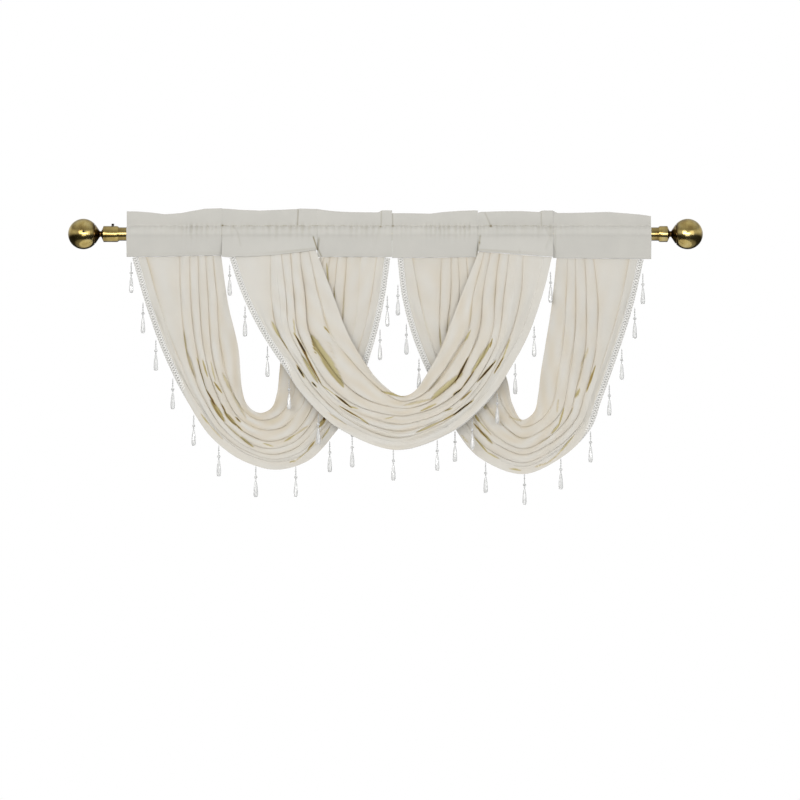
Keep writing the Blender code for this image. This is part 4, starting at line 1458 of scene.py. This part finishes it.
def finial_profile(rod_end, mouth):
    """Rows (x, radius) of a finial from the floor of its collar cup to the tip of its ball."""
    bore = ROD_RADIUS + SLIP_FIT
    floor_x = rod_end + SLIP_FIT
    first = np.arccos((GROOVE_END - BALL_CENTRE) / BALL_RADIUS)
    ball = [
        (BALL_CENTRE + BALL_RADIUS * np.cos(angle), BALL_RADIUS * np.sin(angle))
        for angle in np.linspace(first, 0, BALL_STEPS, endpoint=False)
    ]
    return [
        (floor_x, 0),
        (floor_x, bore),
        (mouth, bore),
        (mouth, bore + COLLAR_WALL),
        (mouth + COLLAR_BEVEL, COLLAR_RADIUS),
        (COLLAR_SHOULDER, COLLAR_RADIUS),
        (NECK_START, NECK_RADIUS),
        (NECK_END, NECK_RADIUS),
        (SKIRT_END, SKIRT_RADIUS),
        (SKIRT_END + GROOVE_SLOPE, GROOVE_RADIUS),
        (GROOVE_END, GROOVE_RADIUS),
        *ball,
        (BALL_CENTRE + BALL_RADIUS, 0),
    ]


def turned(name, profile, finish, patina):
    """A turned piece, with how dark its patina is at each point."""
    made = piece_of(name, turned_rings(profile, TURNED_SIDES), finish)
    made.data.set_sharp_from_angle(angle=TURNED_SHARP_ANGLE)
    places = np.array([abs(vertex.co.x) for vertex in made.data.vertices])
    distances, darkness = np.array(patina, float).T
    paint(made.data, "patina", np.interp(places, distances * MM, darkness))
    return made


def set_screw(finish):
    """The knurled screw on top of the left collar."""
    rings = [(rise * SET_SCREW_HEIGHT, share * SET_SCREW_RADIUS) for rise, share in SET_SCREW_RINGS]
    foot = (SET_SCREW_X, 0, COLLAR_RADIUS + SLIP_FIT)
    parts = upright_rings(foot, rings, SET_SCREW_SIDES, knurl=SET_SCREW_KNURL)
    return piece_of("collar_screw", parts, finish, smooth_shaded=False)


def grub_screw(finish):
    """The small dark grub screw in the front of the left ball."""
    depth = np.sqrt(BALL_RADIUS**2 - GRUB_HOLE_X**2 - GRUB_HOLE_Z**2)
    outward = Vector((GRUB_HOLE_X, -depth, GRUB_HOLE_Z)).normalized()
    shape = bmesh.new()
    bmesh.ops.create_cone(
        shape,
        cap_ends=True,
        segments=GRUB_SIDES,
        radius1=GRUB_HOLE_RADIUS,
        radius2=GRUB_HOLE_RADIUS,
        depth=GRUB_HEIGHT,
    )
    mesh = bpy.data.meshes.new("grub_screw")
    shape.to_mesh(mesh)
    shape.free()
    made = new_object("grub_screw", mesh, finish, smooth_shaded=False)
    made.rotation_mode = "QUATERNION"
    made.rotation_quaternion = outward.to_track_quat("Z", "Y")
    made.location = Vector((-BALL_CENTRE, 0, 0)) + outward * (BALL_RADIUS + GRUB_PROUD)
    return made


# Stage, lights and camera

def floor():
    mesh = bpy.data.meshes.new("floor")
    shape = bmesh.new()
    bmesh.ops.create_circle(shape, cap_ends=True, segments=FLOOR_SIDES, radius=FLOOR_RADIUS)
    shape.to_mesh(mesh)
    shape.free()
    mesh.materials.append(new_material("pale_floor", FLOOR_FINISH)[0])
    placed = bpy.data.objects.new("floor", mesh)
    placed.location = (0, 0, FLOOR_LEVEL)
    bpy.context.scene.collection.objects.link(placed)


def world():
    """White behind the object, also through its beads; for light and reflections a soft
    studio, darker below the horizon."""
    made = bpy.data.worlds.new("studio")
    made.use_nodes = True
    nodes = made.node_tree.nodes
    links = made.node_tree.links
    background = nodes["Background"]
    split = nodes.new("ShaderNodeSeparateXYZ")
    links.new(nodes.new("ShaderNodeTexCoord").outputs["Generated"], split.inputs["Vector"])
    height = nodes.new("ShaderNodeMapRange")
    height.inputs["From Min"].default_value = -1.0
    height.inputs["From Max"].default_value = 1.0
    links.new(split.outputs["Z"], height.inputs["Value"])
    greys = [(place, (level, level, level)) for place, level in STUDIO_LEVELS]
    studio = ramped(nodes, links, height.outputs["Result"], greys)
    paths = nodes.new("ShaderNodeLightPath")
    seen = nodes.new("ShaderNodeMath")
    seen.operation = "MAXIMUM"
    links.new(paths.outputs["Is Camera Ray"], seen.inputs[0])
    links.new(paths.outputs["Is Transmission Ray"], seen.inputs[1])
    colour = mix_colour(nodes, links, "MIX", seen.outputs[0], studio, (*WHITE, 1.0))
    links.new(colour, background.inputs["Color"])
    background.inputs["Strength"].default_value = 1.0
    bpy.context.scene.world = made


def area_light(row):
    light = bpy.data.lights.new(row.name, "AREA")
    light.shape = "RECTANGLE"
    light.size = row.width
    light.size_y = row.height
    light.energy = row.power
    made = bpy.data.objects.new(row.name, light)
    made.location = row.place
    made.rotation_mode = "QUATERNION"
    made.rotation_quaternion = (Vector(row.target) - Vector(row.place)).to_track_quat("-Z", "Y")
    bpy.context.scene.collection.objects.link(made)


def camera():
    data = bpy.data.cameras.new("camera")
    data.sensor_width = SENSOR
    data.lens = SENSOR * CAMERA_DISTANCE / FRAME_WIDTH
    data.clip_end = CAMERA_REACH
    made = bpy.data.objects.new("camera", data)
    made.location = (CAMERA_X, -CAMERA_DISTANCE, CAMERA_Z)
    made.rotation_euler = (np.pi / 2, 0, 0)
    bpy.context.scene.collection.objects.link(made)
    bpy.context.scene.camera = made


# Everything in its place

def own(piece, node):
    """The piece rides on the part's body and stands for a node, which it hides."""
    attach(piece, BODY)
    if node:
        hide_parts(node)


def dress():
    cream = cloth_material("cream_cloth", SWAG_STOPS, SWAG_PITCH, SWAG_SHEEN)
    band = cloth_material("band_cloth", HEADING_STOPS, HEADING_PITCH, HEADING_SHEEN)
    gimp = braid_material()
    clear = speckled_material("clear_bead", BEAD_FINISH, BEAD_GRAIN, BEAD_STOPS)
    thread = speckled_material("strand_thread", THREAD_FINISH, THREAD_GRAIN, THREAD_STOPS)
    brass = brass_material()
    dark = speckled_material("dark_steel", STEEL_FINISH, STEEL_GRAIN, STEEL_STOPS)

    swags = {name: swag_lines(name) for name in SECTIONS}
    for name, lines in swags.items():
        cloth = swag(name, lines, cream)
        own(cloth, f"swag_{name}")
        cloth_back = lines.front + FREE_EDGE_BACK * lines.depth
        own(braid(name, lines, cloth_back, gimp), f"trim_{name}")
        beads, threads = strands(name, strand_places(lines, cloth_back, STRANDS[name]), clear, thread)
        own(beads, None)
        own(threads, None)
    for row in HEADINGS:
        made = heading(row, swags[row.swag], band)
        own(made, row.name)

    left = [(-x, radius) for x, radius in finial_profile(-ROD_LEFT_END, LEFT_COLLAR_MOUTH)]
    own(turned("ball_finial_left", left, brass, FINIAL_PATINA), "finial_left")
    right = finial_profile(ROD_RIGHT_END, RIGHT_COLLAR_MOUTH)
    own(turned("ball_finial_right", right, brass, FINIAL_PATINA), "finial_right")
    rod = [(ROD_LEFT_END, 0), (ROD_LEFT_END, ROD_RADIUS), (ROD_RIGHT_END, ROD_RADIUS), (ROD_RIGHT_END, 0)]
    own(turned("round_rod", rod, brass, ROD_PATINA), "rod")
    own(set_screw(dark), "set_screw")
    own(grub_screw(dark), None)


dress()
floor()
world()
for row in LIGHTS:
    area_light(row)
camera()
bpy.context.scene.view_settings.view_transform = "Standard"
